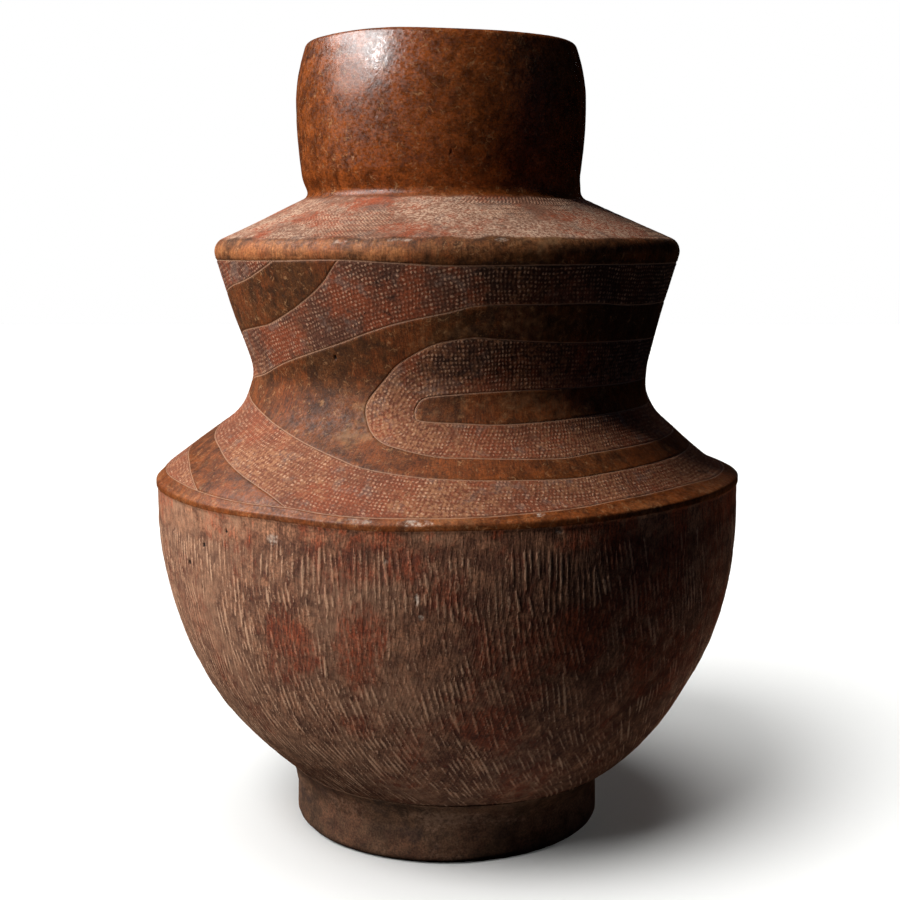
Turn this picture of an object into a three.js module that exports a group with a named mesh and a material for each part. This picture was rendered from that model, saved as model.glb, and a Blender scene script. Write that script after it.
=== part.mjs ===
// Hand-built terracotta jar: a ring foot, a deep round bowl, a sharp shoulder, a waist, a flaring
// wall, a second shoulder and a barrel neck. Millimetres, +Z up, standing on z = 0.
//
// The jar is put together as its potter raises it: a moulded base, then courses of clay drawn up
// one on the other, each lapped over the last along a bevel, and a foot ring luted on underneath.
import * as THREE from "three";

// The foot ring: a plain upright ring whose clay is smeared up on to the bowl. It lifts the bowl's
// flat underside off the ground by the depth of its recess.
const foot = { radius: 99.8, wall: 17.8, height: 24, edgeRadius: 5.5, innerEdgeRadius: 4, recess: 17.9 };
const luting = { spread: 10, featherWall: 1.2, hollowDepth: 1.6, slipGap: 0.5 };

// The bowl is half an ellipse, cut flat a little inside the foot ring, with an upright rim.
const bowl = { depth: 204, rimHeight: 17.5, flatInset: 12, wall: 10.5 };
const bowlBase = { wall: 11.5, bendRadius: 26, reach: 74 };

// The belt stands proud of the bowl as a narrow ledge and turns over into the shoulder.
const belt = { proud: 0.8, face: 3.5, wall: 10.5, bendRadius: 1.6, innerBendRadius: 9, reach: 19 };

// The slopes between the corners: how far each runs outwards or inwards, and how far it rises.
const shoulder = { width: 65.4, rise: 52.5 };
const flare = { width: 28.6, rise: 96.3 };
const collar = { width: 63.2, rise: 29.2 };

// The waist, the crest and the root of the neck, with the bends of their corners.
const waist = { wall: 9.5, bendRadius: 37, reach: 17 };
const crest = { wall: 9.5, bendRadius: 9, innerBendRadius: 8, reach: 15 };
const root = { radius: 86.6, wall: 9, bendRadius: 10, reach: 14 };

// The neck swells to its belly and closes a little to a lip with worn round edges.
const neck = { swell: 5.1, rise: 55, wall: 8.5 };
const lip = { inset: 7.1, rise: 40.5, wall: 7.5, edgeRadius: 4, innerEdgeRadius: 3, reach: 28 };

// Courses overlap by a lap along the wall, with a film of slip in the joint.
const joint = { lapLength: 12, slipGap: 0.5 };

// How many courses each stretch of wall is drawn up in, and how finely curves are cut.
const courseCount = { bowl: 3, shoulder: 2, flare: 2, collar: 2, barrel: 3 };
const stepCount = { round: 40, bowl: 6, barrel: 2, corner: 2, bend: 3, luting: 3 };

// The radii of the corners, from the root of the neck outwards, and of the foot's hollow.
const radii = { root: root.radius, hollow: foot.radius - foot.wall };
radii.crest = radii.root + collar.width;
radii.waist = radii.crest - flare.width;
radii.bowl = radii.waist + shoulder.width;
radii.belt = radii.bowl + belt.proud;
radii.neck = radii.root + neck.swell;
radii.lip = radii.neck - lip.inset;
radii.flat = radii.hollow - bowl.flatInset;
radii.seat = foot.radius + luting.spread;

// The levels of the corners, from the floor upwards.
const flatShare = radii.flat / radii.bowl;
const levels = { equator: foot.recess + bowl.depth * Math.sqrt(1 - flatShare ** 2) };
levels.ledge = levels.equator + bowl.rimHeight;
levels.belt = levels.ledge + belt.face;
levels.waist = levels.belt + shoulder.rise;
levels.crest = levels.waist + flare.rise;
levels.root = levels.crest + collar.rise;
levels.neck = levels.root + neck.rise;
levels.lip = levels.neck + lip.rise;

// The hand-raised wall strays sideways: how far its axis lies off the middle, at a rise above the
// corner below.
const stray = {
  luting: { rise: 24, off: 5 },
  bowl: { rise: 80, off: 1.6 },
  shoulder: { rise: 10, off: -3.6 },
  waist: { rise: 17, off: 1.6 },
  flare: { rise: 60, off: 0.1 },
  root: { off: -1.4 },
  neck: { rise: 14, off: -3.6 },
};
const axisPath = [
  { height: foot.height, off: 0 },
  { height: foot.height + stray.luting.rise, off: stray.luting.off },
  { height: foot.height + stray.bowl.rise, off: stray.bowl.off },
  { height: levels.belt, off: 0 },
  { height: levels.belt + stray.shoulder.rise, off: stray.shoulder.off },
  { height: levels.waist, off: 0 },
  { height: levels.waist + stray.waist.rise, off: stray.waist.off },
  { height: levels.waist + stray.flare.rise, off: stray.flare.off },
  { height: levels.crest, off: 0 },
  { height: levels.root, off: stray.root.off },
  { height: levels.root + stray.neck.rise, off: stray.neck.off },
];

const clay = {
  burnished: { color: "#7b4426", roughness: 0.45, metalness: 0 },
  rouletted: { color: "#7a4636", roughness: 0.85, metalness: 0 },
  combed: { color: "#7d5243", roughness: 0.9, metalness: 0 },
  plain: { color: "#6d4833", roughness: 0.7, metalness: 0 },
};

const point = (radius, height) => new THREE.Vector2(radius, height);

// The corner at b between a and c, rounded to the radius bend and cut in count steps.
function rounded(a, b, c, bend, count) {
  const back = a.clone().sub(b).normalize();
  const ahead = c.clone().sub(b).normalize();
  const half = Math.acos(THREE.MathUtils.clamp(back.dot(ahead), -1, 1)) / 2;
  const reach = Math.min(bend / Math.tan(half), b.distanceTo(a), b.distanceTo(c));
  const middle = back.clone().add(ahead).normalize();
  const centre = b.clone().addScaledVector(middle, reach / Math.cos(half));
  const start = b.clone().addScaledVector(back, reach);
  const turn = (Math.PI - 2 * half) * Math.sign(ahead.cross(back));
  const at = (i) => start.clone().rotateAround(centre, (turn * i) / count);
  return Array.from({ length: count + 1 }, (_, i) => at(i));
}

// An arc from a to b that sinks to the left of the way from a to b, by hollow at its middle.
function hollowArc(a, b, hollow, count) {
  const middle = a.clone().lerp(b, 1 / 2);
  const left = point(a.y - b.y, b.x - a.x).normalize();
  const control = middle.addScaledVector(left, 2 * hollow);
  return new THREE.QuadraticBezierCurve(a, control, b).getPoints(count);
}

// The outer face of the bowl, an ellipse cut at the radii where something meets it.
function bowlCorners() {
  const angleAt = (radius) => -Math.acos(radius / radii.bowl);
  const curve = (radius) => {
    const from = angleAt(radius);
    return new THREE.EllipseCurve(0, levels.equator, radii.bowl, bowl.depth, from, 0);
  };
  const below = [radii.flat, radii.hollow].map((radius) => curve(radius).getPoint(0));
  const side = curve(radii.seat).getPoints(stepCount.bowl);
  const corners = [...below, ...side].map((at) => ({ at, wall: bowl.wall }));
  Object.assign(corners[0], { innerBendRadius: bowlBase.bendRadius, count: stepCount.corner });
  Object.assign(corners.at(-1), { name: "rim" });
  return [{ at: point(0, below[0].y), wall: bowlBase.wall }, ...corners];
}

// The outer face of the neck: two parabolas that meet upright at the belly.
function neckCorners() {
  const from = point(radii.root, levels.root);
  const belly = point(radii.neck, levels.neck);
  const to = point(radii.lip, levels.lip);
  const below = point(radii.neck, (from.y + belly.y) / 2);
  const above = point(radii.neck, (belly.y + to.y) / 2);
  const rising = new THREE.QuadraticBezierCurve(from, below, belly).getPoints(stepCount.barrel);
  const closing = new THREE.QuadraticBezierCurve(belly, above, to).getPoints(stepCount.barrel);
  const corners = [...rising, ...closing.slice(1)].map((at) => ({ at, wall: neck.wall }));
  Object.assign(corners[0], { ...root, count: stepCount.corner, name: "root" });
  Object.assign(corners[stepCount.barrel], { name: "belly" });
  const edges = { bendRadius: lip.edgeRadius, innerBendRadius: lip.innerEdgeRadius };
  Object.assign(corners.at(-1), { wall: lip.wall, ...edges, count: stepCount.corner });
  return corners;
}

// The sharp corners of the outer face from the middle of the floor to the lip. Each has the wall
// behind it, and the bends of the outer and the inner face there.
function cornersOfWall() {
  const { corner, bend } = stepCount;
  return [
    ...bowlCorners(),
    { at: point(radii.bowl, levels.ledge - belt.proud), outerOnly: true },
    { at: point(radii.belt, levels.ledge), outerOnly: true, name: "ledge" },
    { at: point(radii.belt, levels.belt), ...belt, count: corner, name: "belt" },
    { at: point(radii.waist, levels.waist), ...waist, count: bend, name: "waist" },
    { at: point(radii.crest, levels.crest), ...crest, count: corner, name: "crest" },
    ...neckCorners(),
  ];
}

// One face of the wall: a chain of points from the middle of the floor to the top of the lip,
// measured by the length along it, with the lengths of its named corners.
class Face {
  constructor(corners) {
    this.points = [];
    const named = {};
    corners.forEach((corner, i) => {
      const before = corners[i - 1]?.at;
      const after = corners[i + 1]?.at;
      const bend = before && after && corner.bendRadius;
      const cut = bend ? rounded(before, corner.at, after, bend, corner.count) : [corner.at];
      if (corner.name) named[corner.name] = this.points.length + Math.floor(cut.length / 2);
      this.points.push(...cut);
    });
    this.lengths = [0];
    for (let i = 1; i < this.points.length; i++) {
      this.lengths.push(this.lengths[i - 1] + this.points[i].distanceTo(this.points[i - 1]));
    }
    this.end = this.lengths.at(-1);
    this.marks = { start: 0 };
    for (const [name, i] of Object.entries(named)) this.marks[name] = this.lengths[i];
    this.marks.end = this.end;
  }

  at(length) {
    const next = Math.max(1, this.lengths.findIndex((l) => l >= length));
    const share = (length - this.lengths[next - 1]) / (this.lengths[next] - this.lengths[next - 1]);
    return this.points[next - 1].clone().lerp(this.points[next], share);
  }

  // The length at which the face first comes out to a radius.
  where(radius) {
    const next = this.points.findIndex((p) => p.x >= radius);
    const share =
      (radius - this.points[next - 1].x) / (this.points[next].x - this.points[next - 1].x);
    return THREE.MathUtils.lerp(this.lengths[next - 1], this.lengths[next], share);
  }

  // The chain from one length to another, both ends included.
  slice(from, to) {
    const inside = this.points.filter((_, i) => this.lengths[i] > from && this.lengths[i] < to);
    return [this.at(from), ...inside, this.at(to)];
  }
}

// The inner corners: each outer corner moved square to the wall by its thickness.
function innerCorners(corners) {
  const kept = corners.filter((corner) => !corner.outerOnly);
  return kept.map((corner, i) => {
    const before = kept[i - 1] ?? corner;
    const after = kept[i + 1] ?? corner;
    const into = corner.at.clone().sub(before.at).normalize();
    const outof = after.at.clone().sub(corner.at).normalize();
    const along = into.clone().add(outof).normalize();
    const half = Math.acos(THREE.MathUtils.clamp(along.dot(i ? into : outof), -1, 1));
    const inward = point(-along.y, along.x);
    const at = corner.at.clone().addScaledVector(inward, corner.wall / Math.cos(half));
    const behindBend = corner.bendRadius ? corner.bendRadius + corner.wall : 0;
    const bendRadius = corner.innerBendRadius ?? behindBend;
    return { ...corner, at: i ? at : point(0, at.y), bendRadius };
  });
}

// Both faces meet halfway across the top of the lip.
function closeAtLip(outer, inner) {
  const rim = { at: point(outer.at(-1).at.x - lip.wall / 2, levels.lip) };
  const brim = { ...inner.at(-1), at: point(outer.at(-1).at.x - lip.wall, levels.lip) };
  return [new Face([...outer, rim]), new Face([...inner.slice(0, -1), brim, rim])];
}

const corners = cornersOfWall();
const [outer, inner] = closeAtLip(corners, innerCorners(corners));

// The length along the inner face that lies square behind a length along the outer face.
function behind(length) {
  const names = Object.keys(outer.marks).filter((name) => name in inner.marks);
  const next = Math.max(1, names.findIndex((name) => outer.marks[name] >= length));
  const from = names[next - 1];
  const to = names[next];
  const share = (length - outer.marks[from]) / (outer.marks[to] - outer.marks[from]);
  return THREE.MathUtils.lerp(inner.marks[from], inner.marks[to], share);
}

// The outlines of the courses, from the base up. A course begins on the outer face at its lower
// seam and, a lap higher, on the inner face, so that it sits over the bevelled top of the last.
function courseOutline(from, to) {
  const first = from === 0;
  const last = to === outer.end;
  const gap = joint.slipGap / 2;
  const outerStart = first ? 0 : from + gap;
  const outerStop = last ? outer.end : to - gap;
  const innerStart = first ? 0 : behind(from) + joint.lapLength + gap;
  const innerStop = last ? inner.end : behind(to) + joint.lapLength - gap;
  const up = outer.slice(outerStart, outerStop);
  const down = inner.slice(innerStart, innerStop).reverse();
  if (last) down.shift();
  return first ? [...up, ...down] : [...up, ...down, up[0]];
}

// The ring foot: its seat follows the underside of the bowl, and its clay runs up the bowl in a
// hollow curve that ends in a thin feather edge.
function footOutline() {
  const down = point(0, -luting.slipGap);
  const under = outer.slice(outer.where(radii.hollow), outer.where(radii.seat));
  const seat = under.map((p) => p.clone().add(down));
  const tip = seat.at(-1);
  const slope = tip.clone().sub(seat.at(-2)).normalize();
  const feather = tip.clone().addScaledVector(point(slope.y, -slope.x), luting.featherWall);
  const heel = point(radii.hollow, 0);
  const toe = point(foot.radius, 0);
  const side = point(foot.radius, foot.height);
  const outerEdge = rounded(heel, toe, side, foot.edgeRadius, stepCount.corner);
  const innerEdge = rounded(seat[0], heel, toe, foot.innerEdgeRadius, stepCount.corner);
  const smear = hollowArc(side, feather, luting.hollowDepth, stepCount.luting);
  return [...innerEdge, ...outerEdge, ...smear, ...seat.reverse(), innerEdge[0]];
}

// How far the axis strays at a height, eased from one level to the next.
function strayAt(height) {
  const next = axisPath.findIndex((place) => place.height >= height);
  if (next < 0) return axisPath.at(-1).off;
  if (next === 0) return axisPath[0].off;
  const [below, above] = axisPath.slice(next - 1, next + 1);
  const ease = THREE.MathUtils.smoothstep(height, below.height, above.height);
  return THREE.MathUtils.lerp(below.off, above.off, ease);
}

// An outline turned about the upright axis, then shifted with the stray of the wall.
function turned(name, outline, finish) {
  const geometry = new THREE.LatheGeometry(outline, stepCount.round);
  geometry.rotateX(Math.PI / 2);
  const position = geometry.getAttribute("position");
  for (let i = 0; i < position.count; i++) {
    position.setX(i, position.getX(i) + strayAt(position.getZ(i)));
  }
  geometry.computeVertexNormals();
  const mesh = new THREE.Mesh(geometry, new THREE.MeshStandardMaterial(finish));
  mesh.name = name;
  return mesh;
}

// The stretches of wall from the base up: where each ends, and how many courses it is drawn in.
const stretches = [
  { name: "bowl_base", stop: outer.where(radii.flat) + bowlBase.reach, finish: clay.combed },
  { name: "bowl_course", stop: outer.marks.ledge, count: courseCount.bowl, finish: clay.combed },
  { name: "belt_course", stop: outer.marks.belt + belt.reach, finish: clay.burnished },
  {
    name: "shoulder_course",
    stop: outer.marks.waist - waist.reach,
    count: courseCount.shoulder,
    finish: clay.rouletted,
  },
  { name: "waist_course", stop: outer.marks.waist + waist.reach, finish: clay.rouletted },
  {
    name: "flare_course",
    stop: outer.marks.crest - crest.reach,
    count: courseCount.flare,
    finish: clay.rouletted,
  },
  { name: "crest_course", stop: outer.marks.crest + crest.reach, finish: clay.burnished },
  {
    name: "collar_course",
    stop: outer.marks.root - root.reach,
    count: courseCount.collar,
    finish: clay.rouletted,
  },
  {
    name: "neck_course",
    stop: outer.end - lip.reach,
    count: courseCount.barrel,
    finish: clay.burnished,
  },
  { name: "lip_course", stop: outer.end, finish: clay.burnished },
];

const jar = new THREE.Group();
jar.add(turned("foot_ring", footOutline(), clay.plain));
let start = 0;
for (const { name, stop, count = 1, finish } of stretches) {
  const rise = (stop - start) / count;
  for (let i = 0; i < count; i++) {
    const top = i === count - 1 ? stop : start + rise * (i + 1);
    const label = count > 1 ? `${name}_${i + 1}` : name;
    jar.add(turned(label, courseOutline(start + rise * i, top), finish));
  }
  start = stop;
}

export default jar;
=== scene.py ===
"""A hand-built terracotta jar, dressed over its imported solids.

The jar stands on z = 0 with its front towards -Y. Lengths are in millimetres and become metres
where a mesh or a shader takes them. The whole outer wall is one surface P(turn, run): turn is the
angle round the axis in degrees, 0 at the front and growing towards +X, and run is the length
along the outer face, 0 at the sharp turn of the belt and growing upwards. Each course of clay is
a slice of that surface, closed with its inner face and its lapped joints.
"""

from __future__ import annotations

import logging
from dataclasses import dataclass, field
from enum import Enum

import bpy
import numpy as np
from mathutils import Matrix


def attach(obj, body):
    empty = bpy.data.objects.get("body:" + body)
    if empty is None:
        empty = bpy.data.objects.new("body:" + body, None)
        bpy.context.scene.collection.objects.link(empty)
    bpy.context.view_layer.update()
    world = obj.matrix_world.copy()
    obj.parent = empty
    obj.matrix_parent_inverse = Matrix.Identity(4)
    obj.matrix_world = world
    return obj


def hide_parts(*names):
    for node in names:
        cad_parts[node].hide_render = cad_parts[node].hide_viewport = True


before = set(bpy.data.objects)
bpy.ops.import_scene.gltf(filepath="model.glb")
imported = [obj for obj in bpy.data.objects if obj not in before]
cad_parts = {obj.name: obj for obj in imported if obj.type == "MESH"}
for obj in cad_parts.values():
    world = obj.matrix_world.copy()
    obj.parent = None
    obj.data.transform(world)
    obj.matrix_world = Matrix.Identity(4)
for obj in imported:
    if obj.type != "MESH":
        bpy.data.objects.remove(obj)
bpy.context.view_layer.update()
LOG = logging.getLogger("jar")
METRES = 0.001
Array = np.ndarray
Pair = tuple[float, float]
Knots = tuple[Pair, ...]
FLAT = (1, 1, 0)
CURVE_STEPS = 24


class Node(Enum):
    """The shader nodes that the clays are mixed from."""

    ATTRIBUTE = "ShaderNodeAttribute"
    BSDF = "ShaderNodeBsdfPrincipled"
    BUMP = "ShaderNodeBump"
    COMBINE = "ShaderNodeCombineXYZ"
    COORDINATES = "ShaderNodeTexCoord"
    MAPPING = "ShaderNodeMapping"
    MATH = "ShaderNodeMath"
    MIX = "ShaderNodeMix"
    NOISE = "ShaderNodeTexNoise"
    OUTPUT = "ShaderNodeOutputMaterial"
    RANGE = "ShaderNodeMapRange"
    WHITE = "ShaderNodeTexWhiteNoise"


@dataclass(frozen=True)
class JarSizes:
    """Driving dimensions of the jar in millimetres, the same as those of its solids."""

    foot_radius: float = 99.8
    foot_wall: float = 17.8
    foot_height: float = 24.0
    foot_edge: float = 5.5
    foot_inner_edge: float = 4.0
    foot_recess: float = 17.9
    luting_spread: float = 10.0
    luting_hollow: float = 1.6
    bowl_depth: float = 204.0
    bowl_rim: float = 17.5
    bowl_flat_inset: float = 12.0
    bowl_wall: float = 10.5
    base_wall: float = 11.5
    base_bend: float = 26.0
    base_reach: float = 74.0
    belt_proud: float = 0.8
    belt_face: float = 3.5
    belt_wall: float = 10.5
    belt_bend: float = 1.6
    belt_inner_bend: float = 9.0
    belt_reach: float = 19.0
    shoulder_width: float = 65.4
    shoulder_rise: float = 52.5
    flare_width: float = 28.6
    flare_rise: float = 96.3
    collar_width: float = 63.2
    collar_rise: float = 29.2
    waist_wall: float = 9.5
    waist_bend: float = 37.0
    waist_reach: float = 17.0
    crest_wall: float = 9.5
    crest_bend: float = 9.0
    crest_inner_bend: float = 8.0
    crest_reach: float = 15.0
    root_radius: float = 86.6
    root_wall: float = 9.0
    root_bend: float = 10.0
    root_reach: float = 14.0
    neck_swell: float = 5.1
    neck_rise: float = 55.0
    neck_wall: float = 8.5
    lip_inset: float = 7.1
    lip_rise: float = 40.5
    lip_wall: float = 7.5
    lip_edge: float = 4.0
    lip_inner_edge: float = 3.0
    lip_reach: float = 28.0
    lap: float = 12.0
    slip_gap: float = 0.5

    STRAY = (
        ("foot", 0.0, 0.0), ("foot", 24.0, 5.0), ("foot", 80.0, 1.6), ("belt", 0.0, 0.0),
        ("belt", 10.0, -3.6), ("waist", 0.0, 0.0), ("waist", 17.0, 1.6), ("waist", 60.0, 0.1),
        ("crest", 0.0, 0.0), ("root", 0.0, -1.4), ("root", 14.0, -3.6),
    )

    def radii(self) -> dict[str, float]:
        """The radii of the corners, each worked out from the root of the neck outwards."""
        crest = self.root_radius + self.collar_width
        waist = crest - self.flare_width
        bowl = waist + self.shoulder_width
        hollow = self.foot_radius - self.foot_wall
        neck = self.root_radius + self.neck_swell
        return {
            "root": self.root_radius, "crest": crest, "waist": waist, "bowl": bowl, "neck": neck,
            "belt": bowl + self.belt_proud, "lip": neck - self.lip_inset, "hollow": hollow,
            "flat": hollow - self.bowl_flat_inset, "seat": self.foot_radius + self.luting_spread,
        }

    def levels(self) -> dict[str, float]:
        """The heights of the corners, each worked out from the floor upwards."""
        radii = self.radii()
        share = radii["flat"] / radii["bowl"]
        equator = self.foot_recess + self.bowl_depth * np.sqrt(1 - share**2)
        ledge = equator + self.bowl_rim
        belt = ledge + self.belt_face
        waist = belt + self.shoulder_rise
        crest = waist + self.flare_rise
        root = crest + self.collar_rise
        neck = root + self.neck_rise
        return {
            "foot": self.foot_height, "equator": equator, "ledge": ledge, "belt": belt,
            "waist": waist, "crest": crest, "root": root, "neck": neck,
            "lip": neck + self.lip_rise,
        }

    def stray(self, height: Array) -> Array:
        """How far the axis lies off the middle, eased from one level to the next.

        Args:
            height: Heights in millimetres.

        Returns:
            The sideways offset along X in millimetres.
        """
        at = self.levels()
        heights = np.array([at[level] + above for level, above, _ in self.STRAY])
        offsets = np.array([offset for _, _, offset in self.STRAY])
        after = np.clip(np.searchsorted(heights, height), 1, len(heights) - 1)
        share = ease((height - heights[after - 1]) / (heights[after] - heights[after - 1]))
        return offsets[after - 1] * (1 - share) + offsets[after] * share


@dataclass(frozen=True)
class Corner:
    """A sharp corner of the outer face, with the wall behind it and the bends cut there."""

    radius: float
    height: float
    wall: float
    bend: float = 0.0
    inner_bend: float | None = None
    name: str = ""
    outer_only: bool = False


def ease(share: Array) -> Array:
    """The share from 0 to 1 with a soft start and stop: 3 s squared less 2 s cubed."""
    held = np.clip(share, 0.0, 1.0)
    return held * held * (3 - 2 * held)


def step(start: float, stop: float, value: Array) -> Array:
    """A soft step that is 0 where value is at start and 1 where it is at stop."""
    return ease((value - start) / (stop - start))


def window(rise: float, full: float, fall: float, gone: float, value: Array) -> Array:
    """A soft window: 0 up to rise, 1 from full to fall, and 0 again from gone."""
    return step(rise, full, value) * (1 - step(fall, gone, value))


def bell(value: Array, middle: float, width: float) -> Array:
    """A soft bump, 1 at its middle: e to the minus square of the distance in widths."""
    return np.exp(-(((value - middle) / width) ** 2))


def held(value: Array) -> Array:
    """Values kept between 0 and 1."""
    return np.clip(value, 0, 1).astype(np.float32)


def ring_angles(columns: int) -> Array:
    """The angles of the columns of a ring, from the back by the left to the front."""
    return np.arange(columns) * 2 * np.pi / columns - np.pi


def circled(radius: Array, angle: Array, height: Array, across: Array = 0.0) -> Array:
    """Points (x, y, z) on circles round the axis, which lies across by some millimetres.

    The place is (across + radius sin angle, -radius cos angle, height).
    """
    x, y = across + radius * np.sin(angle), -radius * np.cos(angle)
    return np.stack(np.broadcast_arrays(x, y, height), -1)


def push_out(points: Array, push: Array, angle: Array) -> None:
    """Moves points level away from the axis, each by its own push."""
    points[..., 0] += push * np.sin(angle)
    points[..., 1] -= push * np.cos(angle)


def placed(
    name: str, data: bpy.types.ID, place: tuple = (0, 0, 0), turned: tuple = (0, 0, 0)
) -> bpy.types.Object:
    """A new object in the scene, at a place in metres and turned by angles."""
    item = bpy.data.objects.new(name, data)
    item.location, item.rotation_euler = place, turned
    bpy.context.scene.collection.objects.link(item)
    return item


def rounded(before: Array, at: Array, after: Array, bend: float, count: int) -> Array:
    """The corner between two straight lines, rounded by an arc that touches both.

    Args:
        before: The corner before, as (radius, height).
        at: The corner itself.
        after: The corner after.
        bend: The radius of the arc.
        count: The number of steps along the arc.

    Returns:
        The points of the arc, count + 1 rows of (radius, height).
    """
    back = (before - at) / np.linalg.norm(before - at)
    ahead = (after - at) / np.linalg.norm(after - at)
    half = np.arccos(np.clip(back @ ahead, -1, 1)) / 2
    spans = (np.linalg.norm(before - at), np.linalg.norm(after - at))
    reach = min(bend / np.tan(half), *spans)
    middle = (back + ahead) / np.linalg.norm(back + ahead)
    centre = at + middle * reach / np.cos(half)
    start = at + back * reach - centre
    side = np.sign(ahead[0] * back[1] - ahead[1] * back[0])
    angles = side * (np.pi - 2 * half) * np.linspace(0, 1, count + 1)
    cos, sin = np.cos(angles), np.sin(angles)
    turned = np.stack([start[0] * cos - start[1] * sin, start[0] * sin + start[1] * cos], -1)
    return centre + turned


class WallFace:
    """One face of the wall as a chain of points from the floor to the lip, by its length."""

    ARC_STEPS = 12

    def __init__(self, corners: list[Corner]) -> None:
        """Cuts the bends of the corners and measures the chain.

        Args:
            corners: The sharp corners from the middle of the floor upwards.
        """
        places = [np.array([corner.radius, corner.height]) for corner in corners]
        points: list[Array] = []
        named: dict[str, int] = {}
        for i, corner in enumerate(corners):
            cut = places[i][None]
            if corner.bend and 0 < i < len(corners) - 1:
                ends = (places[i - 1], places[i], places[i + 1])
                cut = rounded(*ends, corner.bend, self.ARC_STEPS)
            if corner.name:
                named[corner.name] = sum(len(part) for part in points) + len(cut) // 2
            points.append(cut)
        self.points = np.concatenate(points)
        steps = np.linalg.norm(np.diff(self.points, axis=0), axis=1)
        self.lengths = np.concatenate([[0.0], np.cumsum(steps)])
        self.end = float(self.lengths[-1])
        self.marks = {"start": 0.0}
        self.marks |= {name: float(self.lengths[i]) for name, i in named.items()}
        self.marks["end"] = self.end

    def at(self, length: Array) -> Array:
        """The points (radius, height) at lengths along the face."""
        columns = [np.interp(length, self.lengths, self.points[:, i]) for i in range(2)]
        return np.stack(columns, -1)

    def where(self, radius: float) -> float:
        """The length at which the face first comes out to a radius."""
        after = int(np.argmax(self.points[:, 0] >= radius))
        pair = slice(after - 1, after + 1)
        return float(np.interp(radius, self.points[pair, 0], self.lengths[pair]))


class JarWall:
    """Both faces of the wall, and the lengths at which the courses meet."""

    BOWL_STEPS = 60
    NECK_STEPS = 14
    TINY = 1e-9

    def __init__(self, sizes: JarSizes) -> None:
        """Builds the corners, the outer face and the inner face.

        Args:
            sizes: The driving dimensions.
        """
        self.sizes = sizes
        corners = self.corners()
        inner = self.inner_corners(corners)
        wall, top = sizes.lip_wall, sizes.levels()["lip"]
        tip = corners[-1].radius
        rim = Corner(tip - wall / 2, top, wall)
        brim = Corner(tip - wall, top, wall, bend=sizes.lip_inner_edge)
        self.outer = WallFace([*corners, rim])
        self.inner = WallFace([*inner[:-1], brim, rim])
        self.zero = self.outer.marks["belt"]

    def corners(self) -> list[Corner]:
        """The corners of the outer face, the curves as many small ones."""
        s, r, z = self.sizes, self.sizes.radii(), self.sizes.levels()
        angles = np.linspace(-np.arccos(r["flat"] / r["bowl"]), 0, self.BOWL_STEPS)
        bowl = [
            Corner(r["bowl"] * np.cos(a), z["equator"] + s.bowl_depth * np.sin(a), s.bowl_wall)
            for a in angles
        ]
        flat = bowl[0]
        edge = Corner(flat.radius, flat.height, s.bowl_wall, inner_bend=s.base_bend)
        rim = Corner(bowl[-1].radius, bowl[-1].height, s.bowl_wall, name="rim")
        return [
            Corner(0.0, flat.height, s.base_wall),
            edge,
            *bowl[1:-1],
            rim,
            Corner(r["bowl"], z["ledge"] - s.belt_proud, s.belt_wall, outer_only=True),
            Corner(r["belt"], z["ledge"], s.belt_wall, outer_only=True, name="ledge"),
            Corner(r["belt"], z["belt"], s.belt_wall, s.belt_bend, s.belt_inner_bend, "belt"),
            Corner(r["waist"], z["waist"], s.waist_wall, s.waist_bend, name="waist"),
            Corner(
                r["crest"], z["crest"], s.crest_wall, s.crest_bend, s.crest_inner_bend, "crest"
            ),
            *self.neck_corners(),
        ]

    def neck_corners(self) -> list[Corner]:
        """The neck: two parabolas that meet upright at the belly of the barrel."""
        s, r, z = self.sizes, self.sizes.radii(), self.sizes.levels()
        share = np.linspace(0, 1, self.NECK_STEPS + 1)
        swollen = r["root"] + s.neck_swell * (1 - (1 - share) ** 2)
        drawn_in = r["neck"] - s.lip_inset * share**2
        up, on = z["root"] + s.neck_rise * share, z["neck"] + s.lip_rise * share
        rising = [Corner(*place, s.neck_wall) for place in zip(swollen, up)]
        closing = [Corner(*place, s.neck_wall) for place in zip(drawn_in[1:], on[1:])]
        rising[0] = Corner(r["root"], z["root"], s.root_wall, s.root_bend, name="root")
        rising[-1] = Corner(r["neck"], z["neck"], s.neck_wall, name="belly")
        closing[-1] = Corner(r["lip"], z["lip"], s.lip_wall, s.lip_edge, s.lip_inner_edge)
        return [*rising, *closing]

    def inner_corners(self, corners: list[Corner]) -> list[Corner]:
        """Each outer corner moved square to the wall by its thickness.

        Args:
            corners: The corners of the outer face.

        Returns:
            The corners of the inner face, mitred between the walls on both sides.
        """
        kept = [corner for corner in corners if not corner.outer_only]
        at = np.array([(corner.radius, corner.height) for corner in kept])
        into = np.diff(at, axis=0, prepend=at[:1])
        outof = np.diff(at, axis=0, append=at[-1:])
        into /= np.maximum(np.linalg.norm(into, axis=1, keepdims=True), self.TINY)
        outof /= np.maximum(np.linalg.norm(outof, axis=1, keepdims=True), self.TINY)
        along = into + outof
        along /= np.linalg.norm(along, axis=1, keepdims=True)
        beside = np.where(np.any(into, axis=1, keepdims=True), into, outof)
        cos = np.sum(along * beside, axis=1)
        walls = np.array([corner.wall for corner in kept])
        moved = at + np.stack([-along[:, 1], along[:, 0]], -1) * (walls / cos)[:, None]
        moved[0, 0] = 0.0
        inner = []
        for corner, place in zip(kept, moved):
            behind = corner.bend + corner.wall if corner.bend else 0.0
            bend = corner.inner_bend if corner.inner_bend is not None else behind
            inner.append(Corner(place[0], place[1], corner.wall, bend, name=corner.name))
        return inner

    def behind(self, length: float) -> float:
        """The length along the inner face that lies square behind one along the outer face."""
        names = [name for name in self.outer.marks if name in self.inner.marks]
        outer = [self.outer.marks[name] for name in names]
        return float(np.interp(length, outer, [self.inner.marks[name] for name in names]))


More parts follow.
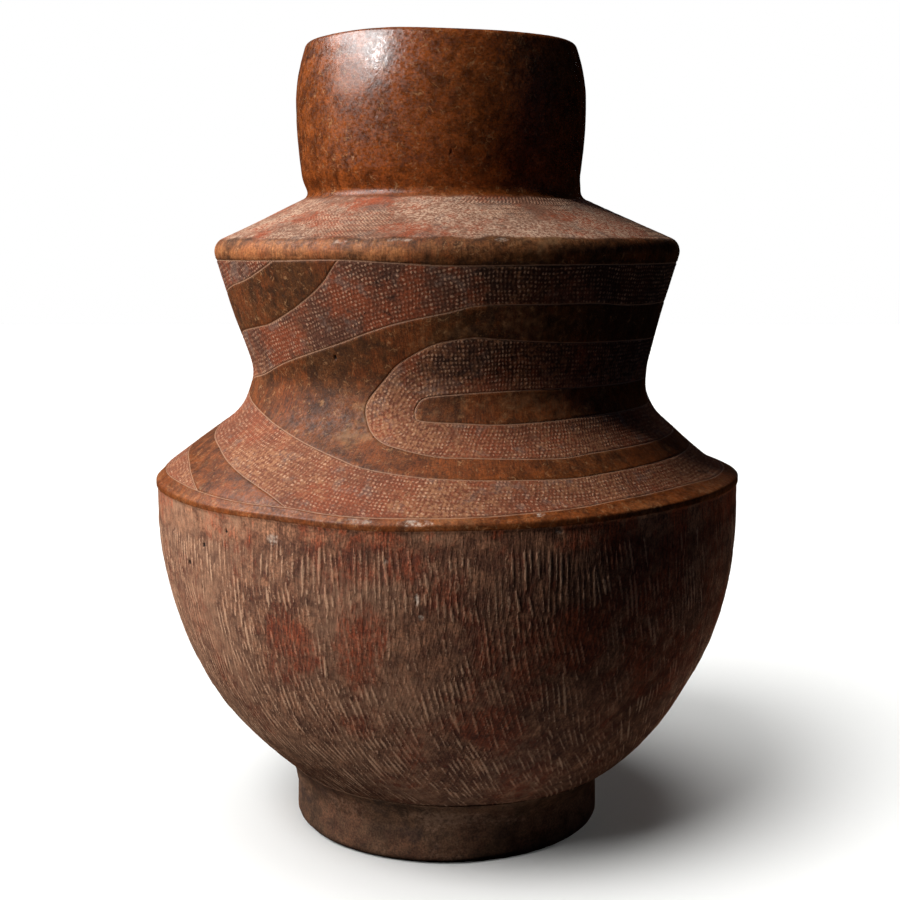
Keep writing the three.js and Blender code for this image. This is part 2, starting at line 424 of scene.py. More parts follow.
@dataclass(frozen=True)
class Course:
    """One course of clay: where it starts and stops on the outer face, and its finish."""

    name: str
    start: float
    stop: float
    row_height: float
    slot: str


def lay_courses(wall: JarWall) -> list[Course]:
    """The courses from the base up, as the solids have them.

    Args:
        wall: The two faces of the wall.

    Returns:
        The courses in order, measured along the outer face from its start.
    """
    s, marks, end = wall.sizes, wall.outer.marks, wall.outer.end
    base = wall.outer.where(s.radii()["flat"]) + s.base_reach
    stretches = [
        ("bowl_base", base, 1, 1.25, "combed_clay"),
        ("bowl_course", marks["ledge"], 3, 1.25, "combed_clay"),
        ("belt_course", marks["belt"] + s.belt_reach, 1, 0.85, "burnished_clay"),
        ("shoulder_course", marks["waist"] - s.waist_reach, 2, 0.85, "rouletted_clay"),
        ("waist_course", marks["waist"] + s.waist_reach, 1, 0.85, "rouletted_clay"),
        ("flare_course", marks["crest"] - s.crest_reach, 2, 0.85, "rouletted_clay"),
        ("crest_course", marks["crest"] + s.crest_reach, 1, 0.9, "burnished_clay"),
        ("collar_course", marks["root"] - s.root_reach, 2, 0.9, "rouletted_clay"),
        ("neck_course", end - s.lip_reach, 3, 1.6, "burnished_clay"),
        ("lip_course", end, 1, 1.1, "burnished_clay"),
    ]
    courses = []
    start = 0.0
    for name, stop, count, row, slot in stretches:
        rise = (stop - start) / count
        for i in range(count):
            label = f"{name}_{i + 1}" if count > 1 else name
            top = stop if i == count - 1 else start + rise * (i + 1)
            courses.append(Course(label, start + rise * i, top, row, slot))
        start = stop
    return courses


class ClayNoise:
    """Smooth lumpy noise in space, the same on every run."""

    PRIMES = (73856093, 19349663, 83492791)
    TABLE = 4096
    LAYER_SHIFT = 31.7

    def __init__(self, seed: int) -> None:
        """Fills the table of random values, which grow from the seed."""
        self.values = np.random.default_rng(seed).random(self.TABLE).astype(np.float32)

    def at(self, place: Array, size: float, octaves: int = 1) -> Array:
        """Noise from -1 to 1, eased between random values on a lattice.

        Args:
            place: Points in millimetres, the last axis x, y, z.
            size: The size of the lumps in millimetres.
            octaves: How many layers are added, each half as big and half as strong.

        Returns:
            One value for each point.
        """
        total = np.zeros(place.shape[:-1], np.float32)
        strength = 1.0
        for octave in range(octaves):
            scaled = place / (size * 0.5**octave) + self.LAYER_SHIFT * octave
            cell = np.floor(scaled).astype(np.int64)
            share = ease((scaled - cell).astype(np.float32))
            layer = np.zeros_like(total)
            for corner in range(8):
                offset = np.array([corner & 1, corner >> 1 & 1, corner >> 2 & 1])
                key = np.zeros(total.shape, np.int64)
                weight = np.ones_like(total)
                for axis in range(3):
                    key ^= (cell[..., axis] + offset[axis]) * self.PRIMES[axis]
                    near = share[..., axis]
                    weight *= near if offset[axis] else 1 - near
                layer += weight * self.values[key & (self.TABLE - 1)]
            total += strength * (2 * layer - 1)
            strength /= 2
        return total


@dataclass(frozen=True)
class Spot:
    """A small mark on the wall: its place by turn and run, its size and its depth."""

    turn: float
    run: float
    width: float
    height: float
    depth: float = 1.0


class WallGrid:
    """Every row and column of the outer face above the foot, up to the lip.

    The rows of one course are a slice of the grid, and neighbours share the row between them.
    """

    COLUMNS = 1440
    SLOPE_STEP = 0.3
    SEAT_OVERLAP = 6.0

    def __init__(self, wall: JarWall, courses: list[Course]) -> None:
        """Lays out the rows and the bare surface with its slopes.

        Args:
            wall: The two faces of the wall.
            courses: The courses of clay in order.
        """
        self.wall = wall
        seat = wall.outer.where(wall.sizes.radii()["seat"] - self.SEAT_OVERLAP)
        lengths = [seat]
        self.slices: dict[str, slice] = {}
        for course in courses:
            start = max(course.start, seat)
            count = int(np.ceil((course.stop - start) / course.row_height))
            first = len(lengths) - 1
            lengths += list(np.linspace(start, course.stop, count + 1)[1:])
            self.slices[course.name] = slice(first, len(lengths))
        self.length = np.array(lengths)
        self.run = (self.length - wall.zero)[:, None]
        self.turn = (np.arange(self.COLUMNS) * 360 / self.COLUMNS - 180)[None, :]
        self.radius, self.height = wall.outer.at(self.length).T[..., None]
        ahead = wall.outer.at(self.length + self.SLOPE_STEP)
        behind = wall.outer.at(self.length - self.SLOPE_STEP)
        along = ahead - behind
        along /= np.linalg.norm(along, axis=1, keepdims=True)
        self.out_share, self.up_share = along[:, 1:], -along[:, :1]
        self.bare = self.place(self.radius, self.height).astype(np.float32)

    def place(self, radius: Array, height: Array) -> Array:
        """Points (x, y, z) on circles round the stray axis, one for each turn."""
        return circled(radius, np.radians(self.turn), height, self.wall.sizes.stray(height))

    def spot(self, mark: Spot) -> Array:
        """How close each point is to a mark: 1 at its middle and 0 at its edge and beyond."""
        turns = (self.turn - mark.turn + 180) % 360 - 180
        across = self.radius * np.radians(turns) / (mark.width / 2)
        up = (self.run - mark.run) / (mark.height / 2)
        return np.clip(1 - across**2 - up**2, 0, 1).astype(np.float32)

    def pushed(self, push: Array, lift: Array) -> Array:
        """The bare surface with its relief.

        Args:
            push: How far each point moves square to the wall, in millimetres.
            lift: How far it then moves upwards.

        Returns:
            The points, rows by columns by x, y, z.
        """
        moved = self.bare.copy()
        push_out(moved, self.out_share * push, np.radians(self.turn))
        moved[..., 2] += self.up_share * push + lift
        return moved


def normals_of(points: Array) -> Array:
    """Unit normals of a closed ring of columns: slope round the wall crossed with slope up it."""
    round_wall = np.roll(points, -1, axis=1) - np.roll(points, 1, axis=1)
    up_wall = np.gradient(points, axis=0)
    normals = np.cross(round_wall, up_wall)
    return normals / np.linalg.norm(normals, axis=-1, keepdims=True)


def smooth_curve(knots: Array, spacing: float, radius: float) -> Array:
    """A smooth curve through knots, each point a cubic of the four knots about it.

    Args:
        knots: Points (turn, run) in degrees and millimetres.
        spacing: The distance between the points of the result, in millimetres.
        radius: The radius that turns degrees into millimetres here.

    Returns:
        Points (turn, run) along the curve.
    """
    padded = np.concatenate([2 * knots[:1] - knots[1:2], knots, 2 * knots[-1:] - knots[-2:-1]])
    share = np.linspace(0, 1, CURVE_STEPS, endpoint=False)[:, None]
    a, b, c, d = (padded[i : len(knots) - 1 + i, None] for i in range(4))
    curve = 2 * b + (c - a) * share + (2 * a - 5 * b + 4 * c - d) * share**2
    curve = (curve + (3 * b - a - 3 * c + d) * share**3) / 2
    fine = np.concatenate([curve.reshape(-1, 2), knots[-1:]])
    laid = fine * [np.radians(1) * radius, 1.0]
    lengths = np.cumsum(np.linalg.norm(np.diff(laid, axis=0, prepend=laid[:1]), axis=1))
    at = np.linspace(0, lengths[-1], int(lengths[-1] / spacing) + 2)
    return np.stack([np.interp(at, lengths, fine[:, i]) for i in range(2)], -1)


def ring_curve(knots: Knots, turn: Array, spacing: float, radius: float) -> Array:
    """A smooth line that runs once round the wall and meets itself.

    Args:
        knots: Points (turn, height) that the line passes through.
        turn: The turns at which it is read.
        spacing: The distance between its points, in millimetres.
        radius: The radius of the wall here.

    Returns:
        The height of the line at each turn.
    """
    points = np.array(knots, float)
    wrapped = np.concatenate([points[-2:] - [360, 0], points, points[:2] + [360, 0]])
    curve = smooth_curve(wrapped, spacing, radius)
    return np.interp(turn, curve[:, 0], curve[:, 1]).astype(np.float32)


@dataclass
class EdgeField:
    """Where each point of the grid lies against one incised edge.

    gap is the signed distance in millimetres, above 0 on the inner side, which opens towards
    growing turns. length is how far along the edge the nearest place is, and bearing is the
    direction from there to the point, 0 towards falling turns and growing upwards.
    """

    gap: Array
    length: Array
    bearing: Array


@dataclass
class LaidTurn:
    """The bands of one turn of the meander, rolled to their place round the wall.

    gap is the distance in from the edges of a band, rise the distance from the edge that its
    rows follow, length and bearing are those of that edge, turn is the meander's own turn, and
    far is the gap of its far edge.
    """

    gap: Array
    rise: Array
    length: Array
    bearing: Array
    turn: Array
    far: Array


class Meander:
    """The meander of textured bands between two incised rules, laid twice round the wall.

    From outside in, one turn has a far band, an outer band and a hook about a burnished tongue.
    All edges open towards growing turns. The second turn starts where the first one's arms end.
    """

    LOWEST = -8.0
    HIGHEST = 184.0
    FAR_WIDTH = 28.0
    SECOND_TURN = 207.0
    FIRST_COLUMN = -135.0
    REACH = 48.0
    SPACING = 2.2
    MEAN_RADIUS = 140.0
    BEYOND = 400.0

    FAR = ((-38, 175), (-43, 168), (-51, 160), (-58, 155.5), (-67, 152), (-85, 144), (-103, 128),
           (-114, 106), (-117, 84), (-113, 60), (-100, 40), (-85, 32), (-70, 27), (-61, 20),
           (-55, 13), (-49, 3))
    OUTER = ((-22, 174), (-25, 167), (-29, 156), (-34, 147), (-41, 138), (-50, 130), (-57, 127),
             (-76, 121), (-90, 112), (-99, 97), (-101, 82), (-97, 66), (-87, 54), (-73, 48),
             (-62, 43), (-52, 35), (-43, 27), (-36, 20), (-31, 13), (-26, 1))
    OUTER_BACK = ((100, 141), (78, 141), (52, 141), (38, 143), (25, 143), (8, 143), (0, 139),
                  (-11, 133), (-19, 127), (-30, 118), (-50, 105), (-63, 96.5), (-76, 92),
                  (-84, 88.5), (-85.5, 85), (-83, 82), (-76, 80.5), (-60, 74), (-48, 67),
                  (-38, 60), (-24, 48), (-18, 42), (-10, 37.5), (0, 34), (16, 32), (27, 31),
                  (40, 33), (65, 35), (100, 35))
    HOOK = ((100, 117), (70, 118), (48, 119), (29, 120), (12, 123), (6, 124), (-2, 121),
            (-7, 116), (-13, 107.5), (-16, 100.5), (-19, 93), (-21, 86), (-21, 79), (-19, 70),
            (-16, 63), (-12, 58), (-2, 51), (7, 49.5), (26, 47), (37, 49), (63, 50), (100, 50))
    TONGUE = ((100, 91), (60, 92), (28, 92.5), (13, 92), (1, 90.5), (-6, 88.5), (-7.8, 84),
              (-8, 79.5), (-6.5, 75.5), (4, 74), (16, 73), (48, 75), (100, 75))
    TOP_RULE = ((-180, 168), (-120, 167), (-80, 168), (-42, 168.3), (-25, 169), (-12, 167.5),
                (0, 166), (23, 166), (58, 166), (100, 167), (140, 168))
    LOW_RULE = ((-180, 8), (-120, 10), (-69, 11), (-54, 9.5), (-38, 7), (-28, 7.5), (-21, 5.6),
                (-12, 5), (5, 5.5), (14, 6.7), (26, 8.7), (34, 10.8), (53, 12.7), (71, 9.5),
                (110, 7), (150, 9))

    def __init__(self, grid: WallGrid) -> None:
        """Measures the grid against every edge."""
        self.grid = grid
        self.rows = (grid.run[:, 0] > self.LOWEST) & (grid.run[:, 0] < self.HIGHEST)
        self.run = grid.run[self.rows].astype(np.float32)
        self.radius = grid.radius[self.rows].astype(np.float32)
        self.turn = (grid.turn[0] + 180 + self.FIRST_COLUMN).astype(np.float32)
        curves = (self.TOP_RULE, self.LOW_RULE)
        self.top, self.low = (
            ring_curve(knots, grid.turn[0], self.SPACING, self.MEAN_RADIUS) for knots in curves
        )
        self.far = self.edge(self.FAR, through=True)
        self.outer = self.edge(self.OUTER, through=True)
        self.outer_back = self.edge(self.OUTER_BACK)
        self.hook = self.edge(self.HOOK)
        self.tongue = self.edge(self.TONGUE)

    def edge(self, knots: Knots, through: bool = False) -> EdgeField:
        """Measures the grid against one edge.

        A point's distance is the least of those to the short straight pieces of the edge.

        Args:
            knots: Points (turn, run) that the edge passes through.
            through: Whether the edge runs on above and below, not towards growing turns.

        Returns:
            The fields of the edge, on the columns that start at the meander's first one.
        """
        curve = smooth_curve(np.array(knots, float), self.SPACING, self.MEAN_RADIUS)
        inside = self.inside(curve, through)
        length, bearing = np.zeros((2, *inside.shape), np.float32)
        edge = EdgeField(np.full(inside.shape, self.REACH**2, np.float32), length, bearing)
        travelled = 0.0
        for start, stop in zip(curve[:-1], curve[1:]):
            travelled += self.measure(edge, start, stop, travelled)
        edge.gap = np.sqrt(edge.gap) * np.where(inside, np.float32(1), np.float32(-1))
        back = bearing + np.where(bearing > 0, -np.pi, np.pi)
        edge.bearing = np.where(inside, back, bearing).astype(np.float32)
        return edge

    def inside(self, curve: Array, through: bool) -> Array:
        """Which points lie on the inner side of an edge.

        These are the points from which a line straight up crosses the closed edge an odd number
        of times.

        Args:
            curve: Points (turn, run) along the edge.
            through: Whether the edge runs on above and below.

        Returns:
            True or False for each point.
        """
        first, last, far = curve[0], curve[-1], self.BEYOND
        before = [[far, far], [first[0], far]] if through else [[far, first[1]]]
        after = [last[0], -far] if through else [far, last[1]]
        closed = np.concatenate([before, curve, [after]])
        inside = np.zeros((len(self.run), len(self.turn)), bool)
        for a, b in zip(closed[:-1], closed[1:]):
            columns = slice(*np.searchsorted(self.turn, sorted((a[0], b[0]))))
            if columns.stop > columns.start:
                share = (self.turn[columns] - a[0]) / (b[0] - a[0])
                inside[:, columns] ^= self.run < a[1] + (b[1] - a[1]) * share
        return inside

    def measure(self, edge: EdgeField, start: Array, stop: Array, travelled: float) -> float:
        """Measures the part of the grid near one straight piece of an edge.

        Args:
            edge: The fields so far, with the square of the distance as its gap.
            start: The point (turn, run) where the piece starts.
            stop: The point where it stops.
            travelled: The length of the edge before the piece.

        Returns:
            The length of the piece.
        """
        reach = np.degrees(self.REACH / self.radius.min())
        turns = np.sort([start[0], stop[0]]) + [-reach, reach]
        runs = np.sort([start[1], stop[1]]) + [-self.REACH, self.REACH]
        rows = slice(*np.searchsorted(self.run[:, 0], runs))
        part = (rows, slice(*np.searchsorted(self.turn, turns)))
        scale = np.radians(self.radius[rows])
        x, y = (self.turn[part[1]] - start[0]) * scale, self.run[rows] - start[1]
        dx, dy = (stop[0] - start[0]) * scale, stop[1] - start[1]
        share = np.clip((x * dx + y * dy) / (dx * dx + dy * dy), 0, 1)
        off_x, off_y = x - share * dx, y - share * dy
        square = off_x**2 + off_y**2
        closer = square < edge.gap[part]
        size = float(np.hypot(dx.mean(), dy))
        edge.gap[part][closer] = square[closer]
        edge.length[part][closer] = (travelled + share * size)[closer]
        edge.bearing[part][closer] = np.arctan2(off_y, -off_x)[closer]
        return size

    def laid(self) -> list[LaidTurn]:
        """Joins the bands of a turn and lays it twice.

        Inside a band is the least of the distances in from its two edges, and the union of bands
        is the greatest of those.
        """
        far = self.far.gap
        outsides = (far + self.FAR_WIDTH, self.outer.gap, self.hook.gap)
        edges = (self.far, self.outer_back, self.tongue)
        bands = [
            (np.minimum(outside, -edge.gap), -edge.gap, edge.length, edge.bearing)
            for outside, edge in zip(outsides, edges)
        ]
        best = np.argmax([band[0] for band in bands], axis=0)[None]
        kinds = [np.take_along_axis(np.stack(kind), best, 0)[0] for kind in zip(*bands)]
        kinds += [np.broadcast_to(self.turn, far.shape), far]
        columns = self.grid.COLUMNS
        home = round((self.FIRST_COLUMN + 180) / 360 * columns)
        shifts = (home, home + round(self.SECOND_TURN / 360 * columns))
        return [LaidTurn(*(np.roll(kind, shift, axis=1) for kind in kinds)) for shift in shifts]

    def ended(self, own: LaidTurn, other: LaidTurn) -> Array:
        """The gap of a turn, whose arms end at the far edge of the turn that comes after it."""
        starting = (other.turn < 0) & (own.turn > 0)
        passed = (other.turn >= 0) & (own.turn > other.turn)
        gap = np.where(starting, np.minimum(own.gap, -other.far), own.gap)
        return np.where(passed, -self.REACH, gap)

    def owner(self, own: LaidTurn) -> Array:
        """A number that is the least for the turn whose rows a point follows."""
        return np.where(own.far + self.FAR_WIDTH > 0, own.turn, self.BEYOND + own.turn)

    def bands(self) -> dict[str, Array]:
        """Joins the bands of both turns between the rules.

        Returns:
            Named arrays over the whole grid: edge_gap, rule_gap, row_rise, row_run, row_turn.
        """
        one, two = self.laid()
        first = self.owner(one) < self.owner(two)
        below, above = self.run - self.low, self.top - self.run
        union = np.maximum(self.ended(one, two), self.ended(two, one))
        values = {
            "edge_gap": np.minimum(union, np.minimum(below, above)),
            "rule_gap": np.where(np.abs(below) < np.abs(above), below, -above),
            "row_rise": np.where(first, one.rise, two.rise),
            "row_run": np.where(first, one.length, two.length),
            "row_turn": np.where(first, one.bearing, two.bearing),
        }
        out = {}
        for name, value in values.items():
            out[name] = np.full(self.grid.bare.shape[:2], -self.REACH, np.float32)
            out[name][self.rows] = value
        return out


@dataclass(frozen=True)
class Combing:
    """Strokes of a toothed tool down the bowl, in short tiers that lap unevenly.

    They stand upright under the belt and lean over more and more towards the foot. The teeth of
    one pass of the tool start, stop and lean together. Pairs are the least and the most of what
    is drawn at random.
    """

    pitch: float = 3.4
    teeth: int = 5
    tier_rise: float = 9.5
    top: float = -22.0
    bottom: float = -236.0
    half_length: float = 13.0
    margin: float = 14.0
    depth: float = 0.55
    bare_height: float = 0.25
    top_lean: float = 2.0
    low_lean: float = 31.0
    top_side_lean: float = 4.0
    side_lean: float = 15.0
    side_lean_share: float = 0.35
    lean_power: float = 1.2
    pass_lean: float = 4.0
    sway: float = 6.0
    sway_size: float = 48.0
    bend: float = 0.5
    bend_size: float = 60.0
    pass_shift: float = 5.0
    tooth_shift: float = 3.4
    pass_lengths: Pair = (0.55, 1.4)
    tooth_lengths: Pair = (0.6, 1.15)
    widths: Pair = (0.34, 0.66)
    strengths: Pair = (0.5, 1.0)
    asides: Pair = (-0.28, 0.28)
    missing_teeth: float = 0.04
    missing_passes: float = 0.16
    taper: float = 1.3
    flanks: Pair = (0.24, 0.2)
    ends: Pair = (0.85, 1.1)
    shown_edge: Pair = (-18.0, -11.0)
    foot_edge: Pair = (-262.0, -236.0)
    least_shown: float = 0.75

    def lean(self, turn: Array, run: float) -> Array:
        """The lean of the strokes in degrees off upright, tops towards falling turns."""
        share = run / self.bottom
        grown = min(1.0, share / self.side_lean_share)
        side = self.top_side_lean + (self.side_lean - self.top_side_lean) * grown
        mean = self.top_lean + (self.low_lean - self.top_lean) * share**self.lean_power
        return mean + side * np.sin(np.radians(turn))

    def laid(self, grid: WallGrid, noise: ClayNoise, seed: int) -> Array:
        """The height of the strokes: 1 along a ridge, 0 in the gap beside it.

        Args:
            grid: The outer face.
            noise: Noise that bends the strokes.
            seed: The number that the random ends grow from.

        Returns:
            One value for each point of the grid.
        """
        random = np.random.default_rng(seed)
        relief = np.full(grid.bare.shape[:2], self.bare_height, np.float32)
        tiers = np.arange(self.top, self.bottom, -self.tier_rise)
        for run in random.permutation(tiers):
            rows = np.abs(grid.run[:, 0] - run) < 2 * self.half_length + self.margin
            if rows.any():
                ridge, cover = self.tier(grid, noise, random, run, rows)
                relief[rows] += (ridge - relief[rows]) * cover
        return relief

    def tier(
        self, grid: WallGrid, noise: ClayNoise, random: np.random.Generator, run: float,
        rows: Array,
    ) -> tuple[Array, Array]:
        """One tier: as many strokes as fit round the wall, each a ridge with soft sides.

        Args:
            grid: The outer face.
            noise: Noise that bends the strokes.
            random: What the random ends, widths and strengths are drawn from.
            run: The middle of the tier.
            rows: The rows of the grid that it can reach.

        Returns:
            The height of the ridges, and how much each point of them covers what lies under it.
        """
        place = grid.bare[rows]
        radius = float(np.interp(run, grid.run[:, 0], grid.radius[:, 0]))
        passes = int(2 * np.pi * radius / self.pitch / self.teeth)
        count = passes * self.teeth
        up = grid.run[rows] - run - self.sway * noise.at(place * FLAT, self.sway_size)
        slope = np.tan(np.radians(self.lean(grid.turn, run)))
        shift = up * slope + self.bend * noise.at(place, self.bend_size)
        across = (np.radians(grid.turn) + shift / radius) / (2 * np.pi) * count
        own = np.floor(across / self.teeth).astype(int) % passes
        tilt = np.tan(np.radians(random.normal(0, self.pass_lean, passes)))[own]
        across = across + up * tilt / self.pitch
        stroke = np.floor(across).astype(int) % count
        middle = random.normal(0, self.pass_shift, passes)[own]
        middle = middle + random.normal(0, self.tooth_shift, count)[stroke]
        half = self.half_length * random.uniform(*self.pass_lengths, passes)[own]
        half = half * random.uniform(*self.tooth_lengths, count)[stroke]
        width = random.uniform(*self.widths, count)[stroke]
        strength = random.uniform(*self.strengths, count)
        strength = strength * (random.uniform(0, 1, count) > self.missing_teeth)
        pressed = (random.uniform(0, 1, passes) > self.missing_passes)[own]
        aside = random.uniform(*self.asides, count)[stroke]
        off = np.abs(2 * (across - np.floor(across)) - 1 + aside)
        end = np.abs(up - middle) / half
        width = width * np.clip(self.taper - end, 0, 1)
        ridge = 1 - step(width - self.flanks[0], width + self.flanks[1], off)
        return ridge * strength[stroke], pressed * (1 - step(*self.ends, end))

    def shown(self, grid: WallGrid, noise: ClayNoise) -> Array:
        """How much of the combing shows: none in the smooth strip under the belt."""
        edge = grid.run + 3 * noise.at(grid.bare * FLAT, 22.0, 2)
        edge = edge + 5 * window(-100, -60, -60, -25, grid.turn)
        top = 1 - step(*self.shown_edge, edge)
        kept = step(-0.75, 0.1, noise.at(grid.bare * [1, 1, 0.6], 24.0, 2))
        worn = self.least_shown + (1 - self.least_shown) * kept
        return (top * worn * step(*self.foot_edge, edge)).astype(np.float32)


@dataclass(frozen=True)
class Stamping:
    """Rows of short slanting impressions on the upper shoulder, pressed with a cord-bound edge."""

    pitch: float = 2.3
    row_rise: float = 7.2
    start: float = 186.0
    stop: float = 240.0
    slant: float = 42.0
    depth: float = 0.24
    sway: float = 1.6
    stagger: float = 0.37
    tremble: float = 0.35
    flanks: Pair = (0.25, 0.8)
    ends: Pair = (0.32, 0.48)
    end_depth: float = 0.8
    least_shown: float = 0.3

    def laid(self, grid: WallGrid, noise: ClayNoise) -> Array:
        """The height of the stamping: 1 on the ridges, 0 in the impressions and row gaps.

        Each row counts its strokes round the wall and slants them by its height within the row.

        Args:
            grid: The outer face.
            noise: Noise that moves the rows and the strokes.

        Returns:
            One value for each point of the grid.
        """
        rise = (grid.run + self.sway * noise.at(grid.bare, 60.0) - self.start) / self.row_rise
        row = np.floor(rise)
        within = rise - row - 0.5
        middle = self.start + (row + 0.5) * self.row_rise
        radius = np.interp(middle, grid.run[:, 0], grid.radius[:, 0])
        count = np.round(2 * np.pi * radius / self.pitch)
        slant = within * self.row_rise * np.tan(np.radians(self.slant)) / radius
        tremble = self.tremble * noise.at(grid.bare, 9.0) / radius
        around = np.radians(grid.turn) + slant + tremble
        across = around / (2 * np.pi) * count + self.stagger * row
        ridge = 1 - step(*self.flanks, np.abs(2 * (across - np.floor(across)) - 1))
        ends = 1 - self.end_depth * step(*self.ends, np.abs(within))
        return (ridge * ends).astype(np.float32)

    def place(self, grid: WallGrid, noise: ClayNoise) -> Array:
        """1 on the stamped shoulder, faded out at the worn crest and at the neck."""
        edge = grid.run + self.sway * noise.at(grid.bare, 14.0, 2)
        low, high = self.start, self.stop
        return window(low - 4.5, low - 1.5, high - 1, high + 3, edge).astype(np.float32)

    def shown(self, grid: WallGrid, noise: ClayNoise) -> Array:
        """How much of the stamping shows: some patches of it are nearly worn away."""
        kept = step(-0.35, 0.4, noise.at(grid.bare + 9.0, 34.0, 2))
        kept = self.least_shown + (1 - self.least_shown) * kept
        return (kept * self.place(grid, noise)).astype(np.float32)


@dataclass(frozen=True)
class Rouletting:
    """Staggered beads in rows along the bands, rolled on with a notched wheel."""

    row_rise: float = 2.5
    pitch: float = 2.3
    depth: float = 0.2
    sink: float = 0.22
    stagger: float = 0.618
    reach: float = 1.15

    def beads(self, fields: dict[str, Array]) -> Array:
        """The height of the beads, 1 at the middle of each.

        A row follows the edge of its band, and along it the length is that of the edge less the
        row's distance times the bearing.
        """
        rise = fields["row_rise"] / self.row_rise
        row = np.floor(rise)
        run = fields["row_run"] - (row + 0.5) * self.row_rise * fields["row_turn"]
        cell = run / self.pitch + self.stagger * row
        x, y = 2 * (cell - np.floor(cell)) - 1, 2 * (rise - row) - 1
        return held(self.reach - x**2 - y**2)


@dataclass(frozen=True)
class Incising:
    """Lines cut into the leather-hard clay along the bands and the rules."""

    width: float = 1.2
    depth: float = 0.5
    burr: float = 0.16

    def cut(self, gap: Array) -> Array:
        """The depth of a line by the distance from its middle: a round groove with a low burr."""
        half = self.width / 2
        return self.burr * bell(np.abs(gap), self.width, half) - self.depth * bell(gap, 0, half)


